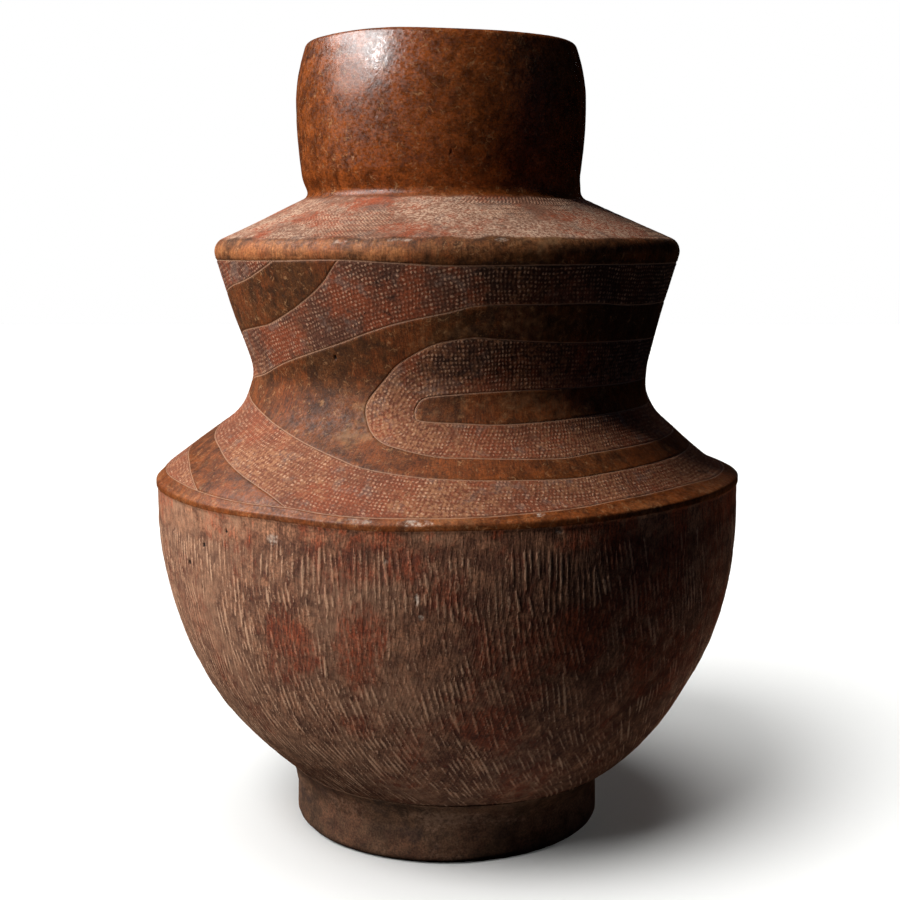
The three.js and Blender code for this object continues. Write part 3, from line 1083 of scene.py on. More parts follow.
class Surface:
    """The outer face with everything that the potter and the years did to it."""

    LEDGE_WAVE = ((-180, 0), (-120, 1), (-70, 1.5), (-46, 1), (-31, 1.5), (-15, 0), (-3, 0.5),
                  (17, 1.5), (31, 2.5), (47, 3.5), (71, 4), (110, 2))
    LIP_WAVE = ((-180, 0.5), (-120, -0.8), (-64, -1.0), (-30, -0.3), (0, -1.9), (25, -2.4),
                (60, -1.8), (110, -0.6))
    WAVE_SPACING = 2.0
    WAVE_RADIUS = 150.0
    CHIPS = (
        Spot(-5, 1.5, 21, 5, 0.9), Spot(16, 5, 8, 3, 0.8), Spot(-15, 2, 18, 4, 0.45),
        Spot(-10, -20, 3, 4, 0.5), Spot(-5, -41, 3, 7, 0.9), Spot(-4.4, -51, 4, 2.5, 0.8),
        Spot(19, -6, 5, 4, 0.6), Spot(-31, -14, 9, 7, 0.6), Spot(-24, 180, 12, 2.4, 0.4),
        Spot(-10, 180.5, 18, 2.4, 0.5), Spot(12, 181, 9, 2.4, 0.4), Spot(150, -4, 10, 5, 0.7),
        Spot(-140, 179, 14, 4, 0.8), Spot(96, -60, 5, 8, 0.8),
    )
    PITS = (
        Spot(-49, -24, 3.2, 3.2), Spot(-55, -37, 3.4, 3.4), Spot(-51, -50, 2.2, 2.2),
        Spot(-56, -8, 2.2, 2.0), Spot(-42, -13, 2.4, 2.2), Spot(-61, -21, 1.8, 1.8),
        Spot(-24, 290, 2.6, 2.2, 0.4), Spot(-35, 268, 2.2, 2.0, 0.4), Spot(4, 268, 2.4, 2.2, 0.5),
        Spot(-30, 111, 2.4, 3.4), Spot(120, -80, 3.4, 3.4), Spot(170, 40, 3, 3),
        Spot(-150, 280, 2.6, 2.4, 0.5), Spot(70, 262, 2.4, 2.4, 0.5),
    )
    RED_PLACES = (
        Spot(-30, -84, 60, 74, 0.3), Spot(-29, -66, 36, 70, 0.36), Spot(-17, -76, 30, 70, 0.44),
        Spot(-7, -22, 28, 26, 0.34), Spot(-13, -28, 50, 20, 0.2), Spot(24, -64, 44, 64, 0.4),
        Spot(6, -122, 70, 34, 0.36), Spot(-14, -60, 40, 40, 0.3), Spot(-22, -126, 50, 30, 0.3),
        Spot(-22, 20, 60, 22, 0.3), Spot(-34, 206, 70, 26, 0.3), Spot(-12, 196, 44, 18, 0.26),
        Spot(-44, 122, 44, 26, 0.3), Spot(-17, 72, 26, 20, 0.34), Spot(140, -90, 90, 70, 0.3),
        Spot(-120, -120, 70, 60, 0.3),
    )
    DUST_PLACES = (
        Spot(-23, 63, 30, 24, 0.26), Spot(-8, 12, 60, 16, 0.16), Spot(-17, 84, 26, 64, 0.14),
        Spot(24, 83, 150, 26, 0.2), Spot(-44, 40, 60, 28, 0.2), Spot(-46, -70, 60, 110, 0.14),
        Spot(-4, -100, 50, 40, 0.12), Spot(-6, 118, 30, 12, 0.2), Spot(-72, -150, 90, 70, 0.16),
        Spot(160, 60, 60, 40, 0.2), Spot(100, 20, 60, 24, 0.2),
    )
    # Painted light: lighter colours on the tongue of the meander, where light falls on it.
    PAINTED_LIGHT_PLACES = (Spot(25, 83, 150, 28, 0.17),)
    RIM = (250, 342)
    BELOW_BELT = -3
    STREAK_RING = 150.0
    FOOT_EDGE = (-262, -225)
    SCRAPED_FROM = (235, 255)
    HAND_HEIGHTS = (0.55, 0.22)
    HAND_SIZES = (70.0, 24.0)
    SCRAPED_HEIGHT = 0.1
    ROUGH_HEIGHT = 0.05
    PIT_DEPTH = 0.9
    CHIP_DEPTH = 0.45
    ROW_WANDER = 0.8
    BEAD_WANDER = 1.1

    def __init__(self, grid: WallGrid) -> None:
        """Works out every layer of relief and every stain on the grid."""
        self.grid = grid
        self.lumps, self.grain, self.stain = ClayNoise(11), ClayNoise(23), ClayNoise(47)
        self.combing, self.stamping = Combing(), Stamping()
        self.rouletting, self.incising = Rouletting(), Incising()
        self.fields = Meander(grid).bands()
        self.fields["row_rise"] += self.ROW_WANDER * self.grain.at(grid.bare, 10.0, 2)
        self.fields["row_run"] += self.BEAD_WANDER * self.lumps.at(grid.bare, 7.0, 2)
        self.banded = step(0.4, 1.4, self.fields["edge_gap"])
        self.fields |= {
            "chipped": self.marked(self.CHIPS),
            "pitted": self.marked(self.PITS),
            "combed": self.combing.shown(grid, self.lumps),
            "stamped": self.stamping.shown(grid, self.lumps),
            "collared": self.stamping.place(grid, self.lumps),
        }
        self.fields["relief"] = self.relief()
        self.fields |= {
            "dust": held(self.dust()),
            "slip": held(self.slip()),
            "soot_and_shade": held(self.soot_and_shade()),
            "rubbed_and_lit": held(self.rubbed_and_lit()),
            "tone": np.broadcast_to(self.tone(), grid.bare.shape[:2]).astype(np.float32),
            "streak_place": self.streak_place(),
        }
        self.points = grid.pushed(self.push(), self.lift())
        self.normals = normals_of(self.points.astype(np.float64)).astype(np.float32)

    def marked(self, marks: tuple[Spot, ...]) -> Array:
        """Each point's nearness to the closest of several marks, with ragged edges."""
        ragged = 0.35 * self.grain.at(self.grid.bare, 2.6, 2)
        total = np.zeros(self.grid.bare.shape[:2], np.float32)
        for mark in marks:
            near = self.grid.spot(mark)
            total = np.maximum(total, mark.depth * step(0.05, 0.55, near + ragged * (near > 0)))
        return total

    def stained(self, marks: tuple[Spot, ...]) -> Array:
        """The sum of several broad soft stains."""
        return sum(mark.depth * ease(self.grid.spot(mark)) for mark in marks)

    def relief(self) -> Array:
        """1 on the ridges of combing, stamping and beads, 0 beside them."""
        strokes = self.combing.laid(self.grid, self.lumps, seed=5)
        prints = self.stamping.laid(self.grid, self.lumps)
        beads = self.rouletting.beads(self.fields)
        relief = self.fields["combed"] * strokes + self.fields["stamped"] * prints
        return (relief + self.banded * beads).astype(np.float32)

    def wave(self, knots: Knots) -> Array:
        """A slow wave round the wall through knots (turn, height)."""
        return ring_curve(knots, self.grid.turn, self.WAVE_SPACING, self.WAVE_RADIUS)

    def lift(self) -> Array:
        """How far points move upwards: the uneven ledge of the belt and the uneven lip."""
        ledge = bell(self.grid.run, -2, 13) * self.wave(self.LEDGE_WAVE)
        return ledge + step(*self.RIM, self.grid.run) * self.wave(self.LIP_WAVE)

    def push(self) -> Array:
        """How far points move square to the wall: the sum of all relief, in millimetres."""
        bare, fields, run = self.grid.bare, self.fields, self.grid.run
        sizes = zip(self.HAND_HEIGHTS, self.HAND_SIZES)
        hand = sum(height * self.lumps.at(bare, size) for height, size in sizes)
        scraped = self.SCRAPED_HEIGHT * self.lumps.at(bare * [0.5, 0.5, 2.2], 16.0)
        pressed = self.combing.depth * fields["combed"] * (fields["relief"] - 0.6)
        pressed += self.stamping.depth * fields["stamped"] * (fields["relief"] - 0.5)
        beads = self.rouletting.depth * fields["relief"] - self.rouletting.sink
        pressed += self.banded * beads
        line = self.incising.cut(fields["edge_gap"])
        line = np.minimum(line, self.incising.cut(fields["rule_gap"]) * (run > -2))
        rough = self.ROUGH_HEIGHT * self.grain.at(bare, 2.4, 2)
        worn = self.PIT_DEPTH * fields["pitted"] + self.CHIP_DEPTH * fields["chipped"]
        hand = hand * step(*self.FOOT_EDGE, run) + scraped * step(*self.SCRAPED_FROM, run)
        return hand + pressed + line * (run > 0.5) + rough - worn

    def lit_side(self, turn: float) -> Array:
        """0 round to the right and 1 to the left of a turn, the side the light comes from."""
        return 0.5 - 0.5 * np.sin(np.radians(self.grid.turn - turn))

    def rubbed_and_lit(self) -> Array:
        """How far hands and cloths wore the slip on the crest, the belt and the lip, with painted
        light on the crest: far paler on the side the light comes from.
        """
        run = self.grid.run
        # Painted light: the worn crest is paler on the left, where the light comes from.
        side = 0.24 + 0.76 * self.lit_side(20)
        crest = 0.9 * bell(run, 174.5, 9) * (run > 168) * side
        edges = crest + 0.5 * bell(run, 2, 7) + 0.6 * bell(run, 345, 6)
        return edges * (0.8 + 0.35 * self.stain.at(self.grid.bare, 30.0, 3))

    def dust(self) -> Array:
        """How much pale earth clings: in patches and most on the collar; the bowl is also paler
        towards its left.
        """
        run, comb = self.grid.run, self.grid.run < self.BELOW_BELT
        dust = 0.5 + 0.32 * self.stain.at(self.grid.bare, 46.0, 3)
        dust += np.where(comb, 0.5 * self.lit_side(10) - 0.1, 0)
        dust += 0.16 * window(176, 182, 240, 247, run)
        dust += (0.1 * bell(run, 25, 22) - 0.24 * step(88, 125, run)) * self.banded
        dust -= 0.22 * comb * step(-30, -16, run)
        return dust + self.stained(self.DUST_PLACES) - 0.4 * comb * self.stained(self.RED_PLACES)

    def slip(self) -> Array:
        """How much red slip is left."""
        comb = self.grid.run < self.BELOW_BELT
        slip = 0.5 + 0.36 * self.grain.at(self.grid.bare * [1, 1, 0.7], 22.0, 3)
        slip += np.where(comb, 0.01 - 0.1 * self.lit_side(10), 0)
        return slip + self.stained(self.RED_PLACES)

    def soot_and_shade(self) -> Array:
        """How dark the wall is: patches of fire cloud, with painted shade on the right of the flare
        and on the side away from the light; least at the neck's root.
        """
        run, turn = self.grid.run, self.grid.turn
        soot_and_shade = 0.42 + 0.3 * self.lumps.at(self.grid.bare, 38.0, 3)
        # Painted shade: less soot on the lit left side, so the right side is darker; more on the
        # neck, less at its root.
        soot_and_shade += 0.12 * step(240, 250, run) - 0.28 * bell(run, 252, 9) - 0.12 * self.lit_side(10)
        # Painted shade: far darker on the right of the flare, which faces down, away from the
        # light.
        return soot_and_shade + 0.6 * window(-30, 20, 120, 170, turn) * window(86, 106, 166, 172, run)

    def tone(self) -> Array:
        """Which of its colours a finish takes: 1 on the neck, less the higher below it, and more
        where light is painted on the tongue of the meander.
        """
        run = self.grid.run
        tone = 0.42 * (1 - step(80, 110, run)) + 0.32 * (1 - step(28, 60, run))
        return tone + step(236, 246, run) + self.stained(self.PAINTED_LIGHT_PLACES)

    def streak_place(self) -> Array:
        """Points on an upright tube, which the streaks are read from, turned with the combing."""
        run, comb = self.grid.run, self.grid.run < self.BELOW_BELT
        lean = self.combing.low_lean * (run / self.combing.bottom) ** 2 * 0.9
        angle = np.radians(self.grid.turn) + np.radians(np.where(comb, lean, 0))
        return circled(self.STREAK_RING, angle, run).astype(np.float32)


@dataclass
class Rings:
    """Rings of vertices round the jar, all with as many columns, from the first row to the last.

    points is rows by columns by x, y, z in millimetres. weight is the share of the texture that
    a millimetre of height gets.
    """

    points: Array
    fields: dict[str, Array] = field(default_factory=dict)
    normals: Array | None = None
    weight: float = 1.0


class Shell:
    """A closed mesh of stacked rings, joined in order round its cross-section.

    Rings of one size are joined by quads. Where a ring has four times the vertices of the next,
    five triangles join each wide cell. A row of one vertex closes a pole.
    """

    FIELDS = ("edge_gap", "rule_gap", "row_rise", "row_run", "row_turn", "relief", "combed",
              "stamped", "collared", "dust", "slip", "soot_and_shade", "chipped", "pitted", "rubbed_and_lit", "tone",
              "inside")
    EMPTY = {"edge_gap": -48.0, "rule_gap": -48.0, "row_rise": -48.0, "dust": 0.45, "slip": 0.5,
             "soot_and_shade": 0.5, "inside": 1.0}
    STRIPS = (1, 2, 3, 4, 5, 6, 8)
    MARGIN = 0.02
    CLOSING = 1.02
    FACES = {
        "even": (((0, 0), (0, 1), (1, 1), (1, 0)),),
        "to_pole": (((0, 0), (0, 1), (1, 0.5)),),
        "from_pole": (((0, 0.5), (1, 1), (1, 0)),),
        "fewer": (
            ((0, 0), (0, 0.25), (1, 0)), ((0, 0.25), (0, 0.5), (1, 0)), ((0, 0.5), (1, 1), (1, 0)),
            ((0, 0.5), (0, 0.75), (1, 1)), ((0, 0.75), (0, 1), (1, 1)),
        ),
        "more": (
            ((0, 0), (1, 0.25), (1, 0)), ((0, 0), (1, 0.5), (1, 0.25)), ((0, 0), (0, 1), (1, 0.5)),
            ((0, 1), (1, 0.75), (1, 0.5)), ((0, 1), (1, 1), (1, 0.75)),
        ),
    }

    def __init__(self, name: str, blocks: list[Rings], closed: bool) -> None:
        """Joins the rings.

        Args:
            name: The name of the piece.
            blocks: The blocks of rings in order, outer face first and upwards.
            closed: Whether the last ring joins the first; if not, both ends are poles.
        """
        self.name, self.blocks = name, blocks
        self.corners: list[Array] = []
        self.shares: list[Array] = []
        rings = self.measured()
        if closed:
            rings.append((rings[0][0], rings[-1][1] * self.CLOSING + 1))
        self.total = rings[-1][1]
        for lower, upper in zip(rings[:-1], rings[1:]):
            self.join(lower[0], upper[0], lower[1] / self.total, upper[1] / self.total)

    def measured(self) -> list[tuple[Array, float]]:
        """The vertices of every ring, with the length along the cross-section up to it."""
        rings: list[tuple[Array, float]] = []
        start, height, before = 0, 0.0, None
        for block in self.blocks:
            rows, columns = block.points.shape[:2]
            index = start + np.arange(rows * columns).reshape(rows, columns)
            for ring, points in zip(index, block.points):
                here = np.array([points.mean(0)[2], np.linalg.norm(points[0, :2])])
                if before is not None:
                    height += block.weight * float(np.hypot(*(here - before)))
                before = here
                rings.append((ring, height))
            start += rows * columns
        return rings

    def join(self, lower: Array, upper: Array, low: float, high: float) -> None:
        """Joins two rings by quads or triangles and notes where these lie on the texture.

        Args:
            lower: The vertices of the first ring.
            upper: The vertices of the next ring.
            low: The height share of the first ring on the texture.
            high: The height share of the next ring.
        """
        n, m = len(lower), len(upper)
        cells = min(n, m) if min(n, m) > 1 else max(n, m)
        kind = "even"
        if 1 in (n, m) and n != m:
            kind = "to_pole" if m == 1 else "from_pole"
        elif n != m:
            kind = "fewer" if n > m else "more"
        rings, heights = (lower, upper), (low, high)
        for face in self.FACES[kind]:
            vertices, places = [], []
            for side, within in face:
                steps = np.arange(cells) + within
                size = len(rings[side])
                at = steps * size / cells if size > 1 else steps * 0
                vertices.append(rings[side][np.round(at).astype(int) % size])
                places.append(np.stack([steps / cells, np.full(cells, heights[side])], -1))
            self.corners.append(np.stack(vertices, 1))
            self.shares.append(np.stack(places, 1))

    def texture_places(self, shares: Array, strips: int) -> Array:
        """Cuts the ring into strips and stacks them, so that the texture map is filled evenly."""
        first = np.floor(shares[..., 0].min(1) * strips + 1e-6)[:, None]
        along = shares[..., 0] * strips - first
        up = (first + self.MARGIN + shares[..., 1] * (1 - 2 * self.MARGIN)) / strips
        return np.stack([self.MARGIN / 2 + along * (1 - self.MARGIN), up], -1).reshape(-1, 2)

    def make(self) -> bpy.types.Object:
        """Puts the mesh, its fields, its texture map and its normals into a new object."""
        points = np.concatenate([block.points.reshape(-1, 3) for block in self.blocks])
        corners = np.concatenate([part.ravel() for part in self.corners])
        sizes = np.concatenate([np.full(len(part), part.shape[1]) for part in self.corners])
        mesh = bpy.data.meshes.new(self.name)
        mesh.vertices.add(len(points))
        mesh.vertices.foreach_set("co", (points * METRES).astype(np.float32).ravel())
        mesh.loops.add(len(corners))
        mesh.loops.foreach_set("vertex_index", corners.astype(np.int32))
        mesh.polygons.add(len(sizes))
        mesh.polygons.foreach_set("loop_start", (np.cumsum(sizes) - sizes).astype(np.int32))
        mesh.update(calc_edges=True)
        mesh.validate()
        self.lay_texture(mesh, 2 * np.pi * float(np.hypot(points[:, 0], points[:, 1]).max()))
        self.write_fields(mesh)
        mesh.shade_smooth()
        normals = [
            np.zeros((block.points[..., 0].size, 3), np.float32)
            if block.normals is None else block.normals.reshape(-1, 3)
            for block in self.blocks
        ]
        mesh.normals_split_custom_set_from_vertices(np.concatenate(normals))
        return placed(self.name, mesh)

    def lay_texture(self, mesh: bpy.types.Mesh, girth: float) -> None:
        """Gives the mesh its texture map, in as many strips as make it fill the square best."""
        strips = min(self.STRIPS, key=lambda count: abs(girth / count - self.total * count))
        places = [self.texture_places(part, strips) for part in self.shares]
        texture = mesh.uv_layers.new(name="OFBake")
        texture.data.foreach_set("uv", np.concatenate(places).astype(np.float32).ravel())

    def write_fields(self, mesh: bpy.types.Mesh) -> None:
        """Writes every field that the clays read as an attribute of the mesh."""
        for name in self.FIELDS:
            parts = [self.field_of(block, name).ravel() for block in self.blocks]
            data = mesh.attributes.new(name, "FLOAT", "POINT").data
            data.foreach_set("value", np.concatenate(parts).astype(np.float32))
        parts = [block.fields.get("streak_place", block.points).ravel() for block in self.blocks]
        data = mesh.attributes.new("streak_place", "FLOAT_VECTOR", "POINT").data
        data.foreach_set("vector", np.concatenate(parts).astype(np.float32))

    def field_of(self, block: Rings, name: str) -> Array:
        """A field of a block, or what stands for it where the block has none."""
        outer = name == "inside" and "relief" in block.fields
        empty = 0.0 if outer else self.EMPTY.get(name, 0.0)
        return block.fields.get(name, np.full(block.points.shape[:2], empty))


class InnerFace:
    """The inner face of the wall, in rings of a quarter of the columns."""

    COLUMNS = 360
    ROW_HEIGHT = 5.0
    WEIGHT = 0.3
    AXIS_REACH = 40
    LIP_FADE = (3, 20)
    MARK_SIZE = 22.0
    MARKS = (0.4, 0.4, 0.15)

    def __init__(self, wall: JarWall, surface: Surface) -> None:
        """Keeps the wall, the noise of the potter's fingers and the wave of the lip."""
        self.wall, self.noise = wall, surface.lumps
        self.rim = Surface.RIM
        self.lip_wave = surface.wave(surface.LIP_WAVE)[0]

    def rings(self, lengths: Array, columns: int) -> Array:
        """The points of the inner face at lengths along it, with shallow finger marks."""
        sizes, inner = self.wall.sizes, self.wall.inner
        radius, height = inner.at(lengths).T[..., None]
        stray = sizes.stray(height) * np.clip(radius / self.AXIS_REACH, 0, 1)
        points = circled(radius, ring_angles(columns), height, stray)
        marks = self.noise.at(points * [0.6, 0.6, 1.6], self.MARK_SIZE)[..., None] * self.MARKS
        from_lip = inner.end - np.asarray(lengths)[:, None]
        fade = step(*self.LIP_FADE, from_lip) * step(0, self.AXIS_REACH, radius)
        lip = step(*self.rim, height - sizes.levels()["lip"] + self.rim[1])
        points[..., 2] += lip * self.lip_wave[:: len(self.lip_wave) // columns]
        return points + marks * fade[..., None]


class CoursePiece:
    """Builds one course of clay as a closed shell over its slice of the surface."""

    RIM_ROWS = 9
    RIM_REACH = 7.0
    RIM_WEIGHT = 0.5
    FLOOR_ROWS = 4
    SEAT_ROWS = 6

    def __init__(self, wall: JarWall, grid: WallGrid, surface: Surface) -> None:
        """Keeps what all courses are cut from: the wall, its grid and its finished face."""
        self.wall, self.grid, self.surface = wall, grid, surface
        self.inner = InnerFace(wall, surface)

    def outer_rings(self, course: Course) -> Rings:
        """The slice of the finished outer face that belongs to a course."""
        rows = self.grid.slices[course.name]
        fields = {name: values[rows] for name, values in self.surface.fields.items()}
        return Rings(self.surface.points[rows], fields, self.surface.normals[rows])

    def joint(self, outer: Array, inner: Array, side: float) -> Rings:
        """A ring halfway across a lapped joint, sunk into the clay by half the film of slip."""
        middle = (outer[:: self.grid.COLUMNS // InnerFace.COLUMNS] + inner) / 2
        middle[:, 2] += side * self.wall.sizes.slip_gap / 2
        return Rings(middle[None], weight=InnerFace.WEIGHT)

    def pole(self, height: float) -> Rings:
        """A single point on the axis."""
        return Rings(np.array([[[0.0, 0.0, height]]]), weight=InnerFace.WEIGHT)

    def build(self, course: Course) -> bpy.types.Object:
        """Builds a course: up its outer face, over the joint, down inside and back.

        Args:
            course: The course of clay.

        Returns:
            The finished object.
        """
        wall, lap = self.wall, self.wall.sizes.lap
        first, last = course.start == 0, course.stop == wall.outer.end
        outer = self.outer_rings(course)
        low = 0.0 if first else wall.behind(course.start) + lap
        high = wall.inner.end if last else wall.behind(course.stop) + lap
        blocks = [*self.underside(), outer] if first else [outer]
        if last:
            rim = np.linspace(high, high - self.RIM_REACH, self.RIM_ROWS + 1)[1:]
            points = self.inner.rings(rim, self.grid.COLUMNS)
            blocks.append(Rings(points, weight=self.RIM_WEIGHT))
            high = rim[-1] - InnerFace.ROW_HEIGHT
        rows = int(np.ceil((high - low) / InnerFace.ROW_HEIGHT))
        lengths = np.linspace(high, low, rows + 1)[: rows if first else rows + 1]
        inner = self.inner.rings(lengths, InnerFace.COLUMNS)
        if not last:
            blocks.append(self.joint(outer.points[-1], inner[0], -1))
        blocks.append(Rings(inner, weight=InnerFace.WEIGHT))
        floor = float(wall.inner.at(np.zeros(1))[0, 1])
        blocks.append(self.pole(floor) if first else self.joint(outer.points[0], inner[-1], 1))
        return Shell(f"{course.name}_clay", blocks, closed=not first).make()

    def underside(self) -> list[Rings]:
        """The flat floor of the bowl and its rise to where the foot hides it."""
        outer, seat = self.wall.outer, float(self.grid.length[0])
        edge = outer.where(self.wall.sizes.radii()["flat"])
        flat = np.linspace(0, edge, self.FLOOR_ROWS + 1)[1:]
        rise = np.linspace(edge, seat, self.SEAT_ROWS + 1)[1:-1]
        radius, height = outer.at(np.concatenate([flat, rise])).T[..., None]
        points = circled(radius, ring_angles(InnerFace.COLUMNS), height)
        return [self.pole(height[0, 0]), Rings(points, weight=InnerFace.WEIGHT)]


class FootRing:
    """The foot: an upright ring with its clay smeared up on to the bowl."""

    COLUMNS = 720
    ROW_HEIGHT = 1.2
    FEATHER = 0.35
    SEAT_POINTS = 12
    SMEAR_POINTS = 12
    EDGE_STEPS = 8
    FREE_SHARE = 0.8
    SMEAR = (20, 26, 33, 38)

    def __init__(self, wall: JarWall, surface: Surface) -> None:
        """Keeps the wall that the foot is luted to, and the noise of the outer face."""
        self.wall, self.surface = wall, surface

    def seat(self) -> Array:
        """The underside of the bowl that the foot is luted to, less the film of slip."""
        outer, radii = self.wall.outer, self.wall.sizes.radii()
        ends = (outer.where(radii["hollow"]), outer.where(radii["seat"]))
        under = outer.at(np.linspace(*ends, self.SEAT_POINTS))
        share = np.linspace(0, 1, self.SEAT_POINTS)[:, None]
        return under - np.array([0, self.wall.sizes.slip_gap]) * (1 - step(0.6, 1.0, share))

    def outline(self) -> Array:
        """The cross-section from the inside of the seat, round the foot and up to the feather."""
        s, seat = self.wall.sizes, self.seat()
        slope = (seat[-1] - seat[-2]) / np.linalg.norm(seat[-1] - seat[-2])
        feather = seat[-1] + np.array([slope[1], -slope[0]]) * self.FEATHER
        heel, toe = np.array([s.radii()["hollow"], 0.0]), np.array([s.foot_radius, 0.0])
        side = np.array([s.foot_radius, s.foot_height])
        inner_edge = rounded(seat[0], heel, toe, s.foot_inner_edge, self.EDGE_STEPS)
        outer_edge = rounded(heel, toe, side, s.foot_edge, self.EDGE_STEPS)
        across = (feather - side) / np.linalg.norm(feather - side)
        hollow = np.array([-across[1], across[0]]) * 2 * s.luting_hollow
        share = np.linspace(0, 1, self.SMEAR_POINTS)[:, None]
        smear = side * (1 - share) ** 2 + feather * share**2
        smear += 2 * ((side + feather) / 2 + hollow) * share * (1 - share)
        return np.concatenate([inner_edge, outer_edge, smear, seat[::-1]])

    def rows(self) -> tuple[Array, Array, Array]:
        """The outline cut in even rows: their shares of its length, radii and heights."""
        chain = self.outline()
        closed = np.concatenate([chain, chain[:1]])
        steps = np.linalg.norm(np.diff(closed, axis=0), axis=1)
        lengths = np.concatenate([[0.0], np.cumsum(steps)])
        at = np.linspace(0, lengths[-1], int(lengths[-1] / self.ROW_HEIGHT))[:-1]
        radius, height = (np.interp(at, lengths, closed[:, i])[:, None] for i in range(2))
        return (at / at[-1])[:, None], radius, height

    def build(self) -> bpy.types.Object:
        """Builds the ring, turned about the stray axis and pushed out by noise."""
        share, radius, height = self.rows()
        turn = ring_angles(self.COLUMNS)
        points = circled(radius, turn, height, self.wall.sizes.stray(height))
        noise, grain = self.surface.lumps, self.surface.grain
        smear = window(*self.SMEAR, height)
        push = 0.7 * noise.at(points, 34.0, 2) + 0.18 * grain.at(points, 7.0, 2)
        push = push + 0.35 * smear * noise.at(points * [1, 1, 2], 11.0)
        push = push * step(0.0, 3.0, height) * (share < self.FREE_SHARE)
        push_out(points, push, turn)
        soot_and_shade = 0.5 + 0.36 * self.surface.stain.at(points, 20.0, 2) - 0.12 * np.sin(turn)
        fields = {
            "relief": np.zeros(push.shape),
            "dust": held(0.3 + 0.3 * noise.at(points, 30.0, 2) + 0.2 * smear),
            "slip": held(0.5 + 0.3 * grain.at(points, 26.0, 2)),
            "soot_and_shade": held(soot_and_shade),
        }
        return Shell("foot_ring_clay", [Rings(points, fields)], closed=True).make()


def linear(code: str) -> tuple[float, float, float, float]:
    """An sRGB hex colour as linear values, by the sRGB curve."""
    values = [int(code[i : i + 2], 16) / 255 for i in (1, 3, 5)]
    bent = [v / 12.92 if v <= 0.04045 else ((v + 0.055) / 1.055) ** 2.4 for v in values]
    return (*bent, 1.0)


class Value:
    """The output of a shader node. A sum written with it adds the nodes that work it out."""

    def __init__(self, mix: Mixer, socket: bpy.types.NodeSocket) -> None:
        """Keeps the output and the mixer that it belongs to."""
        self.mix, self.socket = mix, socket

    def __add__(self, other: Amount) -> Value:
        """This and another together."""
        return self.mix.sum("ADD", self, other)

    def __sub__(self, other: Amount) -> Value:
        """This less another."""
        return self.mix.sum("SUBTRACT", self, other)

    def __rsub__(self, other: float) -> Value:
        """A number less this."""
        return self.mix.sum("SUBTRACT", other, self)

    def __mul__(self, other: Amount) -> Value:
        """This times another."""
        return self.mix.sum("MULTIPLY", self, other)

    def __truediv__(self, other: float) -> Value:
        """This over a number."""
        return self.mix.sum("DIVIDE", self, other)


Amount = Value | float
Paint = Value | str


@dataclass(frozen=True)
class Patch:
    """Patches of a finish, cut from noise or from a field with noise along its edges.

    size is that of the lumps in millimetres, with as many finer layers as detail says, and twist
    pulls them about. A patch begins at start and is full at stop. most is how much shows inside
    it and least how much outside. ragged is how far the lumps move the edge of a field.
    """

    size: float
    start: float = 0.34
    stop: float = 0.66
    most: float = 1.0
    least: float = 0.0
    detail: float = 3.0
    twist: float = 0.0
    ragged: float = 1.2


@dataclass(frozen=True)
class Stain(Patch):
    """A stain of the wall, its edges broken up into fine detail."""

    detail: float = 5.0


